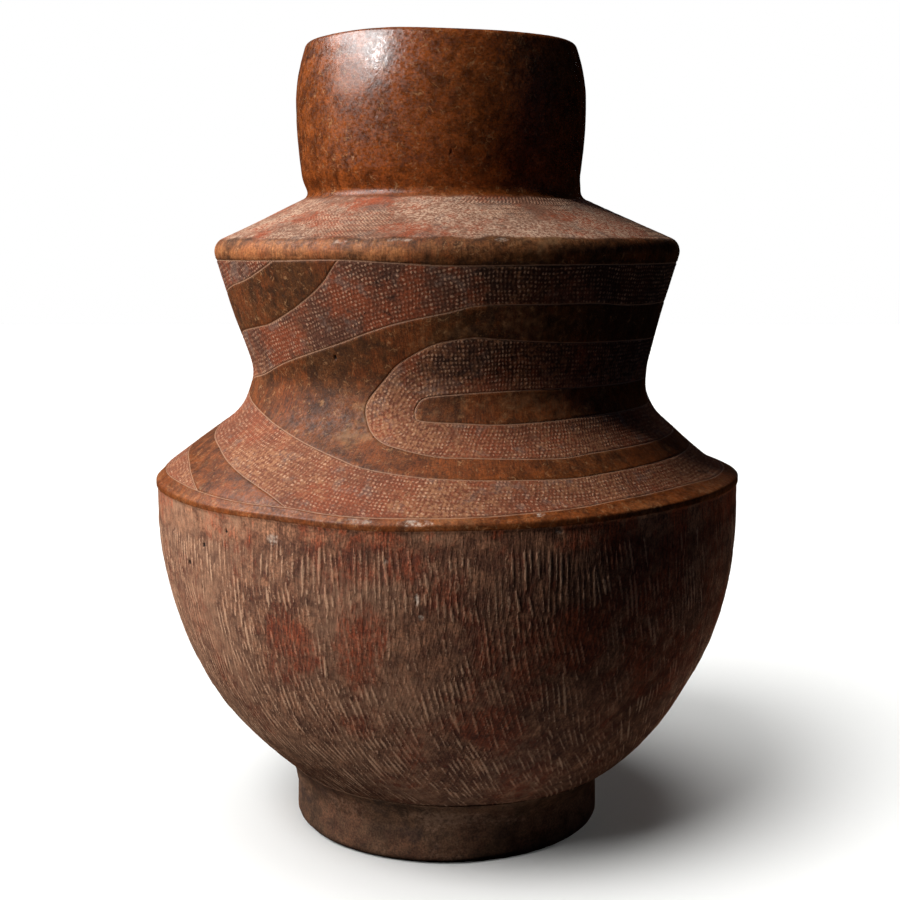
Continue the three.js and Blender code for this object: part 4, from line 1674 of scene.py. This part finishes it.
class Mixer:
    """A material and the nodes it is mixed from. Paints are hex colours or other nodes."""

    LUMP_ROUGHNESS = 0.62

    def __init__(self, name: str) -> None:
        """Makes an empty material of that name."""
        self.material = bpy.data.materials.new(name)
        self.material.use_nodes = True
        self.tree = self.material.node_tree
        self.tree.nodes.clear()
        self.object_place = self.add(Node.COORDINATES, {}, "Object")

    def add(self, kind: Node, inputs: dict, out: int | str = 0, **settings: object) -> Value:
        """Adds one node.

        Args:
            kind: The kind of node.
            inputs: Values, hex colours or other nodes, by the name or number of the input.
            out: The name or number of the output to return.
            settings: Properties of the node.

        Returns:
            The output.
        """
        node = self.tree.nodes.new(kind.value)
        for key, value in settings.items():
            setattr(node, key, value)
        for key, value in inputs.items():
            if isinstance(value, Value):
                self.tree.links.new(value.socket, node.inputs[key])
            else:
                plain = linear(value) if isinstance(value, str) else value
                node.inputs[key].default_value = plain
        return Value(self, node.outputs[out])

    def finish(self, inputs: dict) -> bpy.types.Material:
        """Adds the shader with its inputs, and returns the finished material."""
        shader = self.add(Node.BSDF, inputs)
        end = self.tree.nodes.new(Node.OUTPUT.value)
        self.tree.links.new(shader.socket, end.inputs[0])
        return self.material

    def sum(self, operation: str, *values: Amount) -> Value:
        """The result of an operation of the math node on one to three values."""
        return self.add(Node.MATH, dict(enumerate(values)), operation=operation)

    def field(self, name: str, out: str = "Fac") -> Value:
        """A field of the mesh."""
        return self.add(Node.ATTRIBUTE, {}, out, attribute_name=name)

    def mix(self, share: Amount, first: Paint, second: Paint) -> Value:
        """The colour between two by a share."""
        inputs = {0: share, 6: first, 7: second}
        return self.add(Node.MIX, inputs, 2, data_type="RGBA")

    def blend(self, share: Amount, first: Amount, second: Amount) -> Value:
        """The value between two by a share."""
        return self.add(Node.MIX, {0: share, 2: first, 3: second}, 0)

    def about(self, share: Amount, middle: float, spread: float) -> Value:
        """The value between middle less spread and middle plus spread by a share."""
        return self.blend(share, middle - spread, middle + spread)

    def fade(self, value: Value, start: float, stop: float) -> Value:
        """0 where the value is at start and 1 at stop, eased between."""
        inputs = {0: value, 1: start, 2: stop}
        return self.add(Node.RANGE, inputs, interpolation_type="SMOOTHSTEP")

    def shade(self, colour: Paint, share: Amount) -> Value:
        """A colour made darker or lighter by a factor."""
        grey = self.add(Node.COMBINE, {0: share, 1: share, 2: share})
        inputs = {0: 1.0, 6: colour, 7: grey}
        return self.add(Node.MIX, inputs, 2, data_type="RGBA", blend_type="MULTIPLY")

    def greatest(self, *values: Value) -> Value:
        """The greatest of several values."""
        best = values[0]
        for value in values[1:]:
            best = self.sum("MAXIMUM", best, value)
        return best

    def noise(
        self, patch: Patch, stretch: tuple[float, ...] | None = None, place: Value | None = None
    ) -> Value:
        """The noise that patches are cut from, before the cut.

        Args:
            patch: The size, detail and twist of the lumps.
            stretch: How much longer the lumps are along x, y and z.
            place: Where the noise is read, in millimetres; by itself the object's own place.

        Returns:
            The noise, about 0.5.
        """
        scale = 1 / (patch.size * METRES) if place is None else 1 / patch.size
        place = place or self.object_place
        if stretch:
            place = self.add(Node.MAPPING, {0: place, 3: tuple(1 / s for s in stretch)})
        inputs = {"Vector": place, "Scale": scale, "Roughness": self.LUMP_ROUGHNESS}
        return self.add(Node.NOISE, inputs | {"Detail": patch.detail, "Distortion": patch.twist})

    def cut(self, value: Value, patch: Patch) -> Value:
        """How much of a patch shows where it is cut from a value."""
        share = self.fade(value, patch.start, patch.stop)
        if patch.least:
            return self.blend(share, patch.least, patch.most)
        return share if patch.most == 1 else share * patch.most

    def patches(self, patch: Patch) -> Value:
        """How much shows of patches that are cut from noise alone."""
        return self.cut(self.noise(patch), patch)

    def stain(self, value: Value | str, patch: Patch) -> Value:
        """How much shows of a value, or of a field by its name, with ragged edges."""
        value = self.field(value) if isinstance(value, str) else value
        broken = self.noise(patch) * patch.ragged - patch.ragged / 2
        return self.cut(value + broken, patch)


@dataclass(frozen=True)
class FiredClay:
    """Low-fired earthenware with mineral sand in it: the body under every finish.

    It gives the eye a warm brown that drifts between orange and sooty black, with pale grit.
    """

    name: str = "plain_earthenware"
    light: str = "#694a35"
    dark: str = "#432e20"
    red: str = "#8f4329"
    # The colour of soot, also painted as shade where the soot field holds painted shade.
    smoke_and_shade: str = "#332620"
    dust: str = "#a78067"
    chip: str = "#cdb8a6"
    pit: str = "#20140e"
    inner_light: str = "#7a563f"
    inner_dark: str = "#4a3226"
    drift: Patch = Patch(11.0, detail=6, twist=0.3)
    grit: Patch = Patch(1.3, detail=2)
    red_stain: Patch = Stain(6.0, 0.42, 0.76, 0.12)
    smoke_and_shade_stain: Patch = Stain(6.0, 0.66, 0.92, 0.6)
    dust_stain: Patch = Stain(2.2, 0.4, 0.9, 0.6)
    chips: Patch = Patch(2.4, 0.36, 0.64, 0.9, detail=4)
    wiping: Patch = Patch(14.0, 0.35, 0.65)
    inner_grit: Patch = Patch(1.1, most=1.2, least=0.75, detail=2)
    streak: Patch = Patch(1.2, 0.32, 0.68)
    sheen: Patch = Patch(9.0)
    streak_contrast: float = 0.0
    grit_contrast: float = 0.32
    sheen_contrast: float = 0.08
    roughness: float = 0.78
    inner_roughness: float = 0.85
    relief_height: float = 0.12
    ior: float = 1.4

    BARE = (0.4, 0.6)
    PITTED = (0.2, 0.8)
    RED_IN_GAPS = 0.4
    UPRIGHT = (1.0, 1.0, 7.0)
    WIPED_ROUND = (3.0, 3.0, 0.5)

    def build(self) -> bpy.types.Material:
        """Mixes the clay, with the chips, the pits and the bare inner face that all pieces have."""
        mix = Mixer(self.name)
        bare = mix.fade(mix.field("inside"), *self.BARE)
        colour = mix.mix(bare, self.colour(mix), self.inner_colour(mix))
        colour = mix.mix(mix.field("chipped") * mix.patches(self.chips), colour, self.chip)
        colour = mix.mix(mix.fade(mix.field("pitted"), *self.PITTED), colour, self.pit)
        rough = mix.blend(bare, self.gloss(mix), self.inner_roughness)
        bump = {"Strength": 1.0, "Distance": METRES, "Height": self.height(mix)}
        normal = mix.add(Node.BUMP, bump)
        inputs = {"Base Color": colour, "Roughness": rough, "Normal": normal, "IOR": self.ior}
        return mix.finish(inputs)

    def body(self, mix: Mixer) -> Value:
        """The colour of the fired body: light and dark lumps, red patches, and soot stains with
        painted shade.
        """
        colour = mix.mix(mix.patches(self.drift), *self.pair(mix))
        red = mix.stain("slip", self.red_stain)
        red = red * mix.blend(self.streaks(mix), self.RED_IN_GAPS, 1.0)
        colour = mix.mix(red, colour, self.red)
        # Soot stains, with painted shade on the right of the flare and on the side away from the
        # light.
        colour = mix.mix(mix.stain("soot_and_shade", self.smoke_and_shade_stain), colour, self.smoke_and_shade)
        return mix.shade(colour, mix.about(mix.patches(self.grit), 1.0, self.grit_contrast))

    def streaked(self, mix: Mixer) -> Value:
        """The body with its streaks darker and lighter."""
        return mix.shade(self.body(mix), mix.about(self.streaks(mix), 1.0, self.streak_contrast))

    def pair(self, mix: Mixer) -> tuple[Paint, Paint]:
        """The dark and the light colour that the body drifts between."""
        return self.dark, self.light

    def streaks(self, mix: Mixer) -> Value:
        """Fine upright wiping marks, from 0 to 1."""
        return mix.cut(self.drawn(mix, self.UPRIGHT), self.streak)

    def drawn(self, mix: Mixer, stretch: tuple[float, ...]) -> Value:
        """Noise drawn out into strokes that keep to the wall as it turns."""
        return mix.noise(self.streak, stretch, mix.field("streak_place", "Vector"))

    def colour(self, mix: Mixer) -> Value:
        """The colour of the finish."""
        return mix.mix(mix.stain("dust", self.dust_stain), self.body(mix), self.dust)

    def gloss(self, mix: Mixer) -> Value:
        """The roughness, a little uneven."""
        return mix.about(mix.noise(self.sheen), self.roughness, self.sheen_contrast)

    def height(self, mix: Mixer) -> Value:
        """The fine relief in millimetres, too small for the mesh."""
        return mix.noise(self.grit) * self.relief_height

    def inner_colour(self, mix: Mixer) -> Value:
        """The unslipped inner face, grey-brown with wiping marks that run round the jar."""
        marks = mix.cut(mix.noise(self.wiping, self.WIPED_ROUND), self.wiping)
        colour, grit = mix.mix(marks, self.inner_dark, self.inner_light), self.inner_grit
        return mix.shade(colour, mix.blend(mix.noise(grit), grit.least, grit.most))


@dataclass(frozen=True)
class BurnishedClay(FiredClay):
    """Slipped clay rubbed with a pebble while leather-hard, then fired in an open fire.

    It gives the eye a soft shine, streaks along the strokes of the pebble and cloudy smudges.
    """

    name: str = "burnished_earthenware"
    light: str = "#84431b"
    dark: str = "#522810"
    low_light: str = "#553016"
    low_dark: str = "#371f0e"
    red: str = "#84401a"
    # The colour of soot, also painted as shade on the right of the flare.
    smoke_and_shade: str = "#2b1d17"
    dust: str = "#b5855a"
    # Paler colours of worn slip, also used as painted light on the lit side of the crest.
    worn: str = "#c07a48"
    worn_and_lit_dark: str = "#9d5d37"
    drift: Patch = Patch(9.0, detail=6, twist=0.3)
    red_stain: Patch = Stain(6.0, 0.42, 0.76, 0.5)
    smoke_and_shade_stain: Patch = Stain(3.6, 0.66, 0.92, 0.6)
    worn_and_lit_stain: Patch = Stain(4.0, 0.2, 1.1, 0.9)
    scuffs: Patch = Stain(9.0, 0.3, 0.8, 0.36)
    haze: Patch = Stain(5.0, 0.74, 1.2, 0.36)
    flecks: Patch = Patch(2.0, 0.56, 0.72, 0.44)
    scratches: Patch = Patch(1.5, 0.56, 0.68, twist=2.4)
    hairs: Patch = Patch(8.0, 0.008, 0.04, detail=1, twist=1.6)
    hair_places: Patch = Patch(5.0, 0.5, 0.66, 0.5)
    dull: Patch = Patch(2.2, 0.36, 0.64, 0.2, detail=4)
    dents: Patch = Patch(4.5, detail=2)
    streak: Patch = Patch(1.1, 0.3, 0.7, detail=4)
    streak_contrast: float = 0.24
    grit_contrast: float = 0.24
    roughness: float = 0.21
    low_roughness: float = 0.54
    relief_height: float = 0.08
    dent_height: float = 0.1
    ior: float = 1.62

    NECK = (0.6, 0.9)
    UPRIGHT = (0.8, 0.8, 6.0)
    AROUND = (5.0, 5.0, 0.8)

    def pair(self, mix: Mixer) -> tuple[Paint, Paint]:
        """The colours of the neck, or those below it, which are duller; paler where worn and where
        light is painted on the crest.
        """
        neck = mix.field("tone")
        dark = mix.mix(neck, self.low_dark, self.dark)
        light = mix.mix(neck, self.low_light, self.light)
        rubbed_and_lit = mix.stain("rubbed_and_lit", self.worn_and_lit_stain)
        return mix.mix(rubbed_and_lit, dark, self.worn_and_lit_dark), mix.mix(rubbed_and_lit, light, self.worn)

    def neck(self, mix: Mixer) -> Value:
        """1 on the neck, 0 below it."""
        return mix.fade(mix.field("tone"), *self.NECK)

    def streaks(self, mix: Mixer) -> Value:
        """The strokes of the pebble: round the neck, and up and down below it."""
        upright, around = (self.drawn(mix, way) for way in (self.UPRIGHT, self.AROUND))
        return mix.cut(mix.blend(self.neck(mix), upright, around), self.streak)

    def colour(self, mix: Mixer) -> Value:
        """The streaked body with sooty flecks, pale scuffs, haze and scratches."""
        body = mix.mix(mix.patches(self.flecks), self.streaked(mix), self.smoke_and_shade)
        scuffed = mix.patches(self.scratches) * mix.stain("dust", self.scuffs)
        pale = mix.greatest(scuffed, mix.stain("dust", self.haze), self.hair_lines(mix))
        return mix.mix(pale, body, self.dust)

    def hair_lines(self, mix: Mixer) -> Value:
        """Hair-thin pale scratches: where winding noise crosses its middle, here and there."""
        off = mix.sum("ABSOLUTE", mix.noise(self.hairs) - 0.5)
        return (1.0 - mix.cut(off, self.hairs)) * mix.patches(self.hair_places)

    def gloss(self, mix: Mixer) -> Value:
        """Smoother where the pebble passed, rougher in dull patches and below the neck."""
        smooth = mix.blend(self.neck(mix), self.low_roughness, self.roughness)
        return smooth + mix.patches(self.dull)

    def height(self, mix: Mixer) -> Value:
        """Grit, and the shallow dents of the pebble."""
        return mix.noise(self.dents) * self.dent_height + super().height(mix)


@dataclass(frozen=True)
class RoulettedClay(BurnishedClay):
    """Burnished clay with incised lines round bands of rolled beads, dusted with pale earth.

    It gives the eye dark red bands full of pale dots in rows, edged by fine pale lines.
    """

    name: str = "rouletted_earthenware"
    ground: str = "#5c3829"
    low_ground: str = "#764029"
    ground_red: str = "#8a4529"
    ground_grey: str = "#7a6256"
    chalk: str = "#a9734f"
    collar_chalk: str = "#dbb598"
    collar_ground: str = "#885a44"
    collar_red: str = "#a04a28"
    bead: str = "#c09678"
    line: str = "#ab8166"
    ground_stain: Patch = Stain(5.0, 0.36, 0.82, 0.85)
    ground_smoke_and_shade: Patch = Stain(3.6, 0.62, 0.9, 0.75)
    chalk_stain: Patch = Stain(6.0, 0.4, 0.92, 0.85)
    chalk_flecks: Patch = Patch(2.4, 0.42, 0.6, least=0.05, detail=5)
    collar_flecks: Patch = Patch(1.6, detail=4)
    grey_patches: Patch = Patch(13.0, 0.53, 0.66, 0.6, detail=4)
    bead_edge: Patch = Patch(0.9, -0.25, 0.25, detail=2, ragged=1.8)
    beads_kept: Patch = Patch(10.0, 0.38, 0.6, detail=4)
    stamp_edge: Patch = Patch(1.0, 0.3, 0.8, ragged=1.1)
    stamps_kept: Patch = Patch(22.0, 0.42, 0.62, least=0.35)
    line_edge: Patch = Patch(2.5, 0.1, 0.65, ragged=0.7)
    rouletting: Rouletting = Rouletting()
    ground_contrast: float = 0.28
    bead_share: float = 0.72
    line_share: float = 0.65
    band_roughness: float = 0.78
    bead_height: float = 0.15
    line_depth: float = 0.2
    ior: float = 1.32

    BANDED = (0.2, 0.7)
    LOW = (0.05, 0.5)
    BEAD_GROWTH = 0.4
    FRESH = (0.4, 1.0)
    WORN = (0.05, 0.4)
    # Painted shade in hollows and painted light on raised tops, as factors on the ground.
    SUNK_SHADE = (0.84, 0.62)
    RAISED_LIGHT = 1.08

    def beads(self, mix: Mixer) -> Value:
        """The beads by the same sums as their relief, each with its own strength and size."""
        wheel = self.rouletting
        rise = mix.field("row_rise") / wheel.row_rise
        row = mix.sum("FLOOR", rise)
        middle = (row + 0.5) * -wheel.row_rise
        run = middle * mix.field("row_turn") + mix.field("row_run")
        cell = run * (1 / wheel.pitch) + row * wheel.stagger
        place = mix.add(Node.COMBINE, {0: row, 1: mix.sum("FLOOR", cell)})
        own = mix.add(Node.WHITE, {"Vector": place}, "Value")
        x, y = (mix.sum("FRACT", way) * 2.0 - 1.0 for way in (cell, rise))
        square = x * x + y * y - own * self.BEAD_GROWTH
        shown = [mix.blend(own, *ends) for ends in (self.WORN, self.FRESH)]
        dot = 1.0 - mix.stain(square, self.bead_edge)
        return dot * mix.blend(mix.patches(self.beads_kept), *shown)

    def banded(self, mix: Mixer) -> Value:
        """1 inside the bands, 0 outside."""
        return mix.fade(mix.field("edge_gap"), *self.BANDED)

    def textured(self, mix: Mixer) -> Value:
        """1 inside the bands and on the stamped collar, 0 elsewhere."""
        return mix.greatest(self.banded(mix), mix.field("collared"))

    def tops(self, mix: Mixer) -> Value:
        """The pale tops of beads inside the bands and of the stamped ridges above."""
        ridges = mix.stain(mix.field("stamped") * mix.field("relief"), self.stamp_edge)
        ridges = ridges * mix.patches(self.stamps_kept)
        return mix.greatest(ridges, self.banded(mix) * self.beads(mix))

    def lines(self, mix: Mixer) -> Value:
        """How much of an incised line shows: 1 at its middle."""
        gaps = [mix.sum("ABSOLUTE", mix.field(name)) for name in ("edge_gap", "rule_gap")]
        return 1.0 - mix.stain(mix.sum("MINIMUM", *gaps), self.line_edge)

    def ground_colour(self, mix: Mixer) -> Value:
        """The clay of the bands and of the stamped collar: dark, with red, grey, and soot with
        painted shade.
        """
        low = mix.fade(mix.field("tone"), *self.LOW)
        red = mix.stain("slip", self.ground_stain)
        bands = mix.mix(red, mix.mix(low, self.ground, self.low_ground), self.ground_red)
        collar = mix.mix(red, self.collar_ground, self.collar_red)
        ground = mix.mix(mix.field("collared"), bands, collar)
        ground = mix.mix(mix.patches(self.grey_patches), ground, self.ground_grey)
        # Soot stains on the ground, with painted shade on the right of the flare and its bands.
        ground = mix.mix(mix.stain("soot_and_shade", self.ground_smoke_and_shade), ground, self.smoke_and_shade)
        return mix.shade(ground, mix.about(mix.patches(self.grit), 1.0, self.ground_contrast))

    def chalky(self, mix: Mixer, ground: Value) -> Value:
        """The ground with flecks of chalky earth, finer and paler on the collar."""
        collar, sizes = mix.field("collared"), (self.chalk_flecks, self.collar_flecks)
        flecks = mix.blend(collar, *(mix.noise(patch) for patch in sizes))
        chalk = mix.stain("dust", self.chalk_stain) * mix.cut(flecks, self.chalk_flecks)
        return mix.mix(chalk, ground, mix.mix(collar, self.chalk, self.collar_chalk))

    def colour(self, mix: Mixer) -> Value:
        """Burnished ground; bands of dark or red clay; pale beads, lines and dust; painted shade
        between the beads and in the stamped impressions, painted light on their tops.
        """
        tops = self.tops(mix)
        # Painted shade in the hollows between beads and in the stamped impressions, painted light
        # on the raised tops.
        sunk = mix.blend(mix.field("stamped"), *self.SUNK_SHADE)
        ground = self.chalky(mix, self.ground_colour(mix))
        ground = mix.shade(ground, mix.blend(tops, sunk, self.RAISED_LIGHT))
        beaded = mix.mix(tops * self.bead_share, ground, self.bead)
        colour = mix.mix(self.textured(mix), super().colour(mix), beaded)
        return mix.mix(self.lines(mix) * self.line_share, colour, self.line)

    def gloss(self, mix: Mixer) -> Value:
        """Shiny between the bands, dull inside them."""
        return mix.blend(self.textured(mix), super().gloss(mix), self.band_roughness)

    def height(self, mix: Mixer) -> Value:
        """Beads and line cores sharper than the mesh has them, and grit."""
        relief = self.tops(mix) * self.bead_height - self.lines(mix) * self.line_depth
        return relief + super().height(mix)


@dataclass(frozen=True)
class CombedClay(FiredClay):
    """Clay scraped down with a toothed tool, with worn red slip and pale earth on the ridges.

    It gives the eye short upright strokes, pinkish on top and dark between.
    """

    name: str = "combed_earthenware"
    light: str = "#99694d"
    dark: str = "#653f2d"
    red: str = "#8f4024"
    dust: str = "#ad8265"
    ridge: str = "#c2997b"
    gap: str = "#38201a"
    red_stain: Patch = Stain(6.0, 0.42, 0.76, 0.88)
    dust_stain: Patch = Stain(5.0, 0.5, 1.0, 0.55)
    ridge_edge: Patch = Patch(1.2, 0.38, 0.8, ragged=1.3)
    ridges_kept: Patch = Patch(6.0, 0.34, 0.6, least=0.35, detail=4)
    ridge_red: Patch = Stain(6.0, 0.42, 0.76, 0.5)
    gaps_kept: Patch = Patch(6.0, 0.36, 0.64, 0.7, 0.3, detail=4)
    ridge_share: float = 0.8
    gap_share: float = 0.95
    streak_contrast: float = 0.34
    roughness: float = 0.85
    relief_height: float = 0.3
    drag_height: float = 0.22
    ior: float = 1.35

    def colour(self, mix: Mixer) -> Value:
        """The body with red slip, then dust, shade in the gaps and pale ridges."""
        body = mix.mix(mix.stain("dust", self.dust_stain), self.streaked(mix), self.dust)
        combed, ridges = mix.field("combed"), mix.stain("relief", self.ridge_edge)
        gaps = (1.0 - ridges) * combed * mix.patches(self.gaps_kept) * self.gap_share
        bare = 1.0 - mix.stain("slip", self.ridge_red)
        pale = ridges * combed * bare * mix.patches(self.ridges_kept) * self.ridge_share
        return mix.mix(pale, mix.mix(gaps, body, self.gap), self.ridge)

    def height(self, mix: Mixer) -> Value:
        """Drag marks and grit."""
        return self.streaks(mix) * self.drag_height + super().height(mix)


@dataclass(frozen=True)
class Lamp:
    """A soft rectangular light: where it stands, by turn and height angle, and its strength."""

    name: str
    turn: float
    rise: float
    width: float
    height: float
    power: float
    colour: str = "#ffffff"
    mirrored: bool = True
    distance: float = 2.2
    aim_height: float = 0.27

    def build(self, floor: bpy.types.Collection) -> None:
        """Sets up the lamp, turned towards the jar and kept off the floor."""
        turn, rise = np.radians(self.turn), np.radians(self.rise)
        away, up = self.distance * np.cos(rise), self.distance * np.sin(rise)
        data = bpy.data.lights.new(self.name, "AREA")
        data.shape = "RECTANGLE"
        data.size, data.size_y = self.width, self.height
        data.energy, data.color = self.power, linear(self.colour)[:3]
        place = (away * np.sin(turn), -away * np.cos(turn), self.aim_height + up)
        item = placed(self.name, data, place, (np.pi / 2 - rise, 0, turn))
        item.visible_camera = False
        item.visible_glossy = self.mirrored
        item.light_linking.receiver_collection = floor


@dataclass(frozen=True)
class Wash:
    """A broad far light for the floor alone, by its angles in degrees and its strength."""

    name: str
    turn: float
    rise: float
    angle: float
    strength: float
    shadow: bool = True

    def build(self, floor: bpy.types.Collection) -> None:
        """Sets up the light over the floor."""
        data = bpy.data.lights.new(self.name, "SUN")
        data.energy, data.angle = self.strength, np.radians(self.angle)
        data.use_shadow = self.shadow
        turned = (np.pi / 2 - np.radians(self.rise), 0, np.radians(self.turn))
        item = placed(self.name, data, turned=turned)
        item.light_linking.receiver_collection = floor


@dataclass(frozen=True)
class Bounce:
    """Light thrown back up by the pale floor: a square just above it, seen by nothing."""

    name: str
    x: float
    y: float
    size: float
    power: float
    height: float = 0.004

    def build(self) -> None:
        """Sets up the square of light, turned upwards."""
        data = bpy.data.lights.new(self.name, "AREA")
        data.size, data.energy = self.size, self.power
        item = placed(self.name, data, (self.x, self.y, self.height), (np.pi, 0, 0))
        item.visible_camera = False
        item.visible_glossy = False


@dataclass(frozen=True)
class Studio:
    """A pale floor, soft light from the left and the camera of the photograph."""

    camera_height: float = 0.375
    camera_distance: float = 0.9425
    camera_side: float = 0.00195
    camera_tilt: float = 82.0
    lens: float = 58.0
    floor_size: float = 12.0
    floor_colour: str = "#f4f4f2"
    floor_roughness: float = 0.9
    lamps: tuple[Lamp, ...] = (
        Lamp("key_light", -84, 48, 2.0, 1.2, 66),
        Lamp("side_light", -74, 28, 1.2, 1.2, 20),
        Lamp("window_light", -54, 32, 0.16, 0.36, 18),
        Lamp("sky_light", 72, 16, 1.6, 1.2, 1.8, "#b0c8ff", mirrored=False),
        Lamp("back_light", 165, 16, 1.4, 0.9, 11.0, "#eef2ff", mirrored=False),
    )
    bounces: tuple[Bounce, ...] = (
        Bounce("bounce_far", -0.40, -0.40, 0.4, 1.26),
        Bounce("bounce_left", -0.26, -0.20, 0.22, 0.06),
        Bounce("bounce_front", 0.02, -0.22, 0.18, 0.06),
        Bounce("bounce_right", 0.30, -0.02, 0.2, 0.17),
    )
    washes: tuple[Wash, ...] = (
        Wash("floor_wash_side", -46, 51, 34, 2.7),
        Wash("floor_wash_above", -80, 75, 60, 2.15),
        Wash("floor_wash_fill", 0, 80, 20, 0.24, shadow=False),
    )

    def build(self) -> None:
        """Sets up the floor, the lights, the camera and the backdrop."""
        floor = self.floor()
        for lamp in self.lamps:
            lamp.build(self.group(floor, "EXCLUDE"))
        for wash in self.washes:
            wash.build(self.group(floor, "INCLUDE"))
        for bounce in self.bounces:
            bounce.build()
        self.camera()
        self.backdrop()

    def floor(self) -> bpy.types.Object:
        """A plain pale floor that throws no light of its own on the jar."""
        half = self.floor_size / 2
        mesh = bpy.data.meshes.new("floor")
        square = [(-half, -half, 0), (half, -half, 0), (half, half, 0), (-half, half, 0)]
        mesh.from_pydata(square, [], [(0, 1, 2, 3)])
        paper = {"Base Color": self.floor_colour, "Roughness": self.floor_roughness}
        mesh.materials.append(Mixer("floor_paper").finish(paper))
        floor = placed("floor", mesh)
        floor.visible_diffuse = False
        floor.visible_glossy = False
        return floor

    def group(self, floor: bpy.types.Object, state: str) -> bpy.types.Collection:
        """The collection that tells a light to shine on the floor alone, or to leave it out."""
        name = f"floor_{state.lower()}"
        group = bpy.data.collections.get(name)
        if group is None:
            group = bpy.data.collections.new(name)
            group.objects.link(floor)
            group.collection_objects[0].light_linking.link_state = state
        return group

    def camera(self) -> None:
        """Sets up the camera, a little above the crest and looking slightly down."""
        data = bpy.data.cameras.new("camera")
        data.lens = self.lens
        place = (self.camera_side, -self.camera_distance, self.camera_height)
        scene = bpy.context.scene
        scene.camera = placed("camera", data, place, (np.radians(self.camera_tilt), 0, 0))
        scene.view_settings.view_transform = "Standard"

    def backdrop(self) -> None:
        """Makes the world white to the camera, though it lights nothing."""
        world = bpy.data.worlds.new("backdrop")
        world.use_nodes = True
        world.node_tree.nodes["Background"].inputs[0].default_value = (1, 1, 1, 1)
        world.cycles_visibility.diffuse = False
        world.cycles_visibility.glossy = False
        bpy.context.scene.world = world


@dataclass
class Jar:
    """The whole jar: its sizes, its courses and their clays."""

    BANDED_FROM = "belt_course"
    BANDED_TO = "neck_course_1"

    sizes: JarSizes = JarSizes()
    plain: FiredClay = FiredClay()
    burnished: BurnishedClay = BurnishedClay()
    rouletted: RoulettedClay = RoulettedClay()
    combed: CombedClay = CombedClay()

    def build(self) -> None:
        """Builds every course and the foot, and dresses them."""
        wall = JarWall(self.sizes)
        courses = lay_courses(wall)
        grid = WallGrid(wall, courses)
        surface = Surface(grid)
        LOG.info("outer face: %d rows of %d points", *surface.points.shape[:2])
        maker = CoursePiece(wall, grid, surface)
        names = [course.name for course in courses]
        banded = names[names.index(self.BANDED_FROM) : names.index(self.BANDED_TO) + 1]
        clays = {
            "combed_clay": self.combed.build(),
            "rouletted_clay": self.rouletted.build(),
            "burnished_clay": self.burnished.build(),
        }
        for course in courses:
            kind = "rouletted_clay" if course.name in banded else course.slot
            self.finish(maker.build(course), course.name, course.slot, clays[kind])
        foot = FootRing(wall, surface).build()
        self.finish(foot, "foot_ring", "plain_clay", self.plain.build())

    def finish(
        self, piece: bpy.types.Object, node: str, slot: str, clay: bpy.types.Material
    ) -> None:
        """Dresses a piece and lets it stand for its node.

        Args:
            piece: The finished mesh.
            node: The name of the solid that it stands for.
            slot: The record's material slot; not used.
            clay: The material.
        """
        piece.data.materials.append(clay)
        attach(piece, "root")
        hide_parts(node)
        LOG.info("%s: %d faces, %s", piece.name, len(piece.data.polygons), clay.name)


def main() -> None:
    """Builds the studio and the jar."""
    logging.basicConfig(level=logging.INFO, format="%(name)s: %(message)s")
    Studio().build()
    Jar().build()


if __name__ == "__main__":
    main()
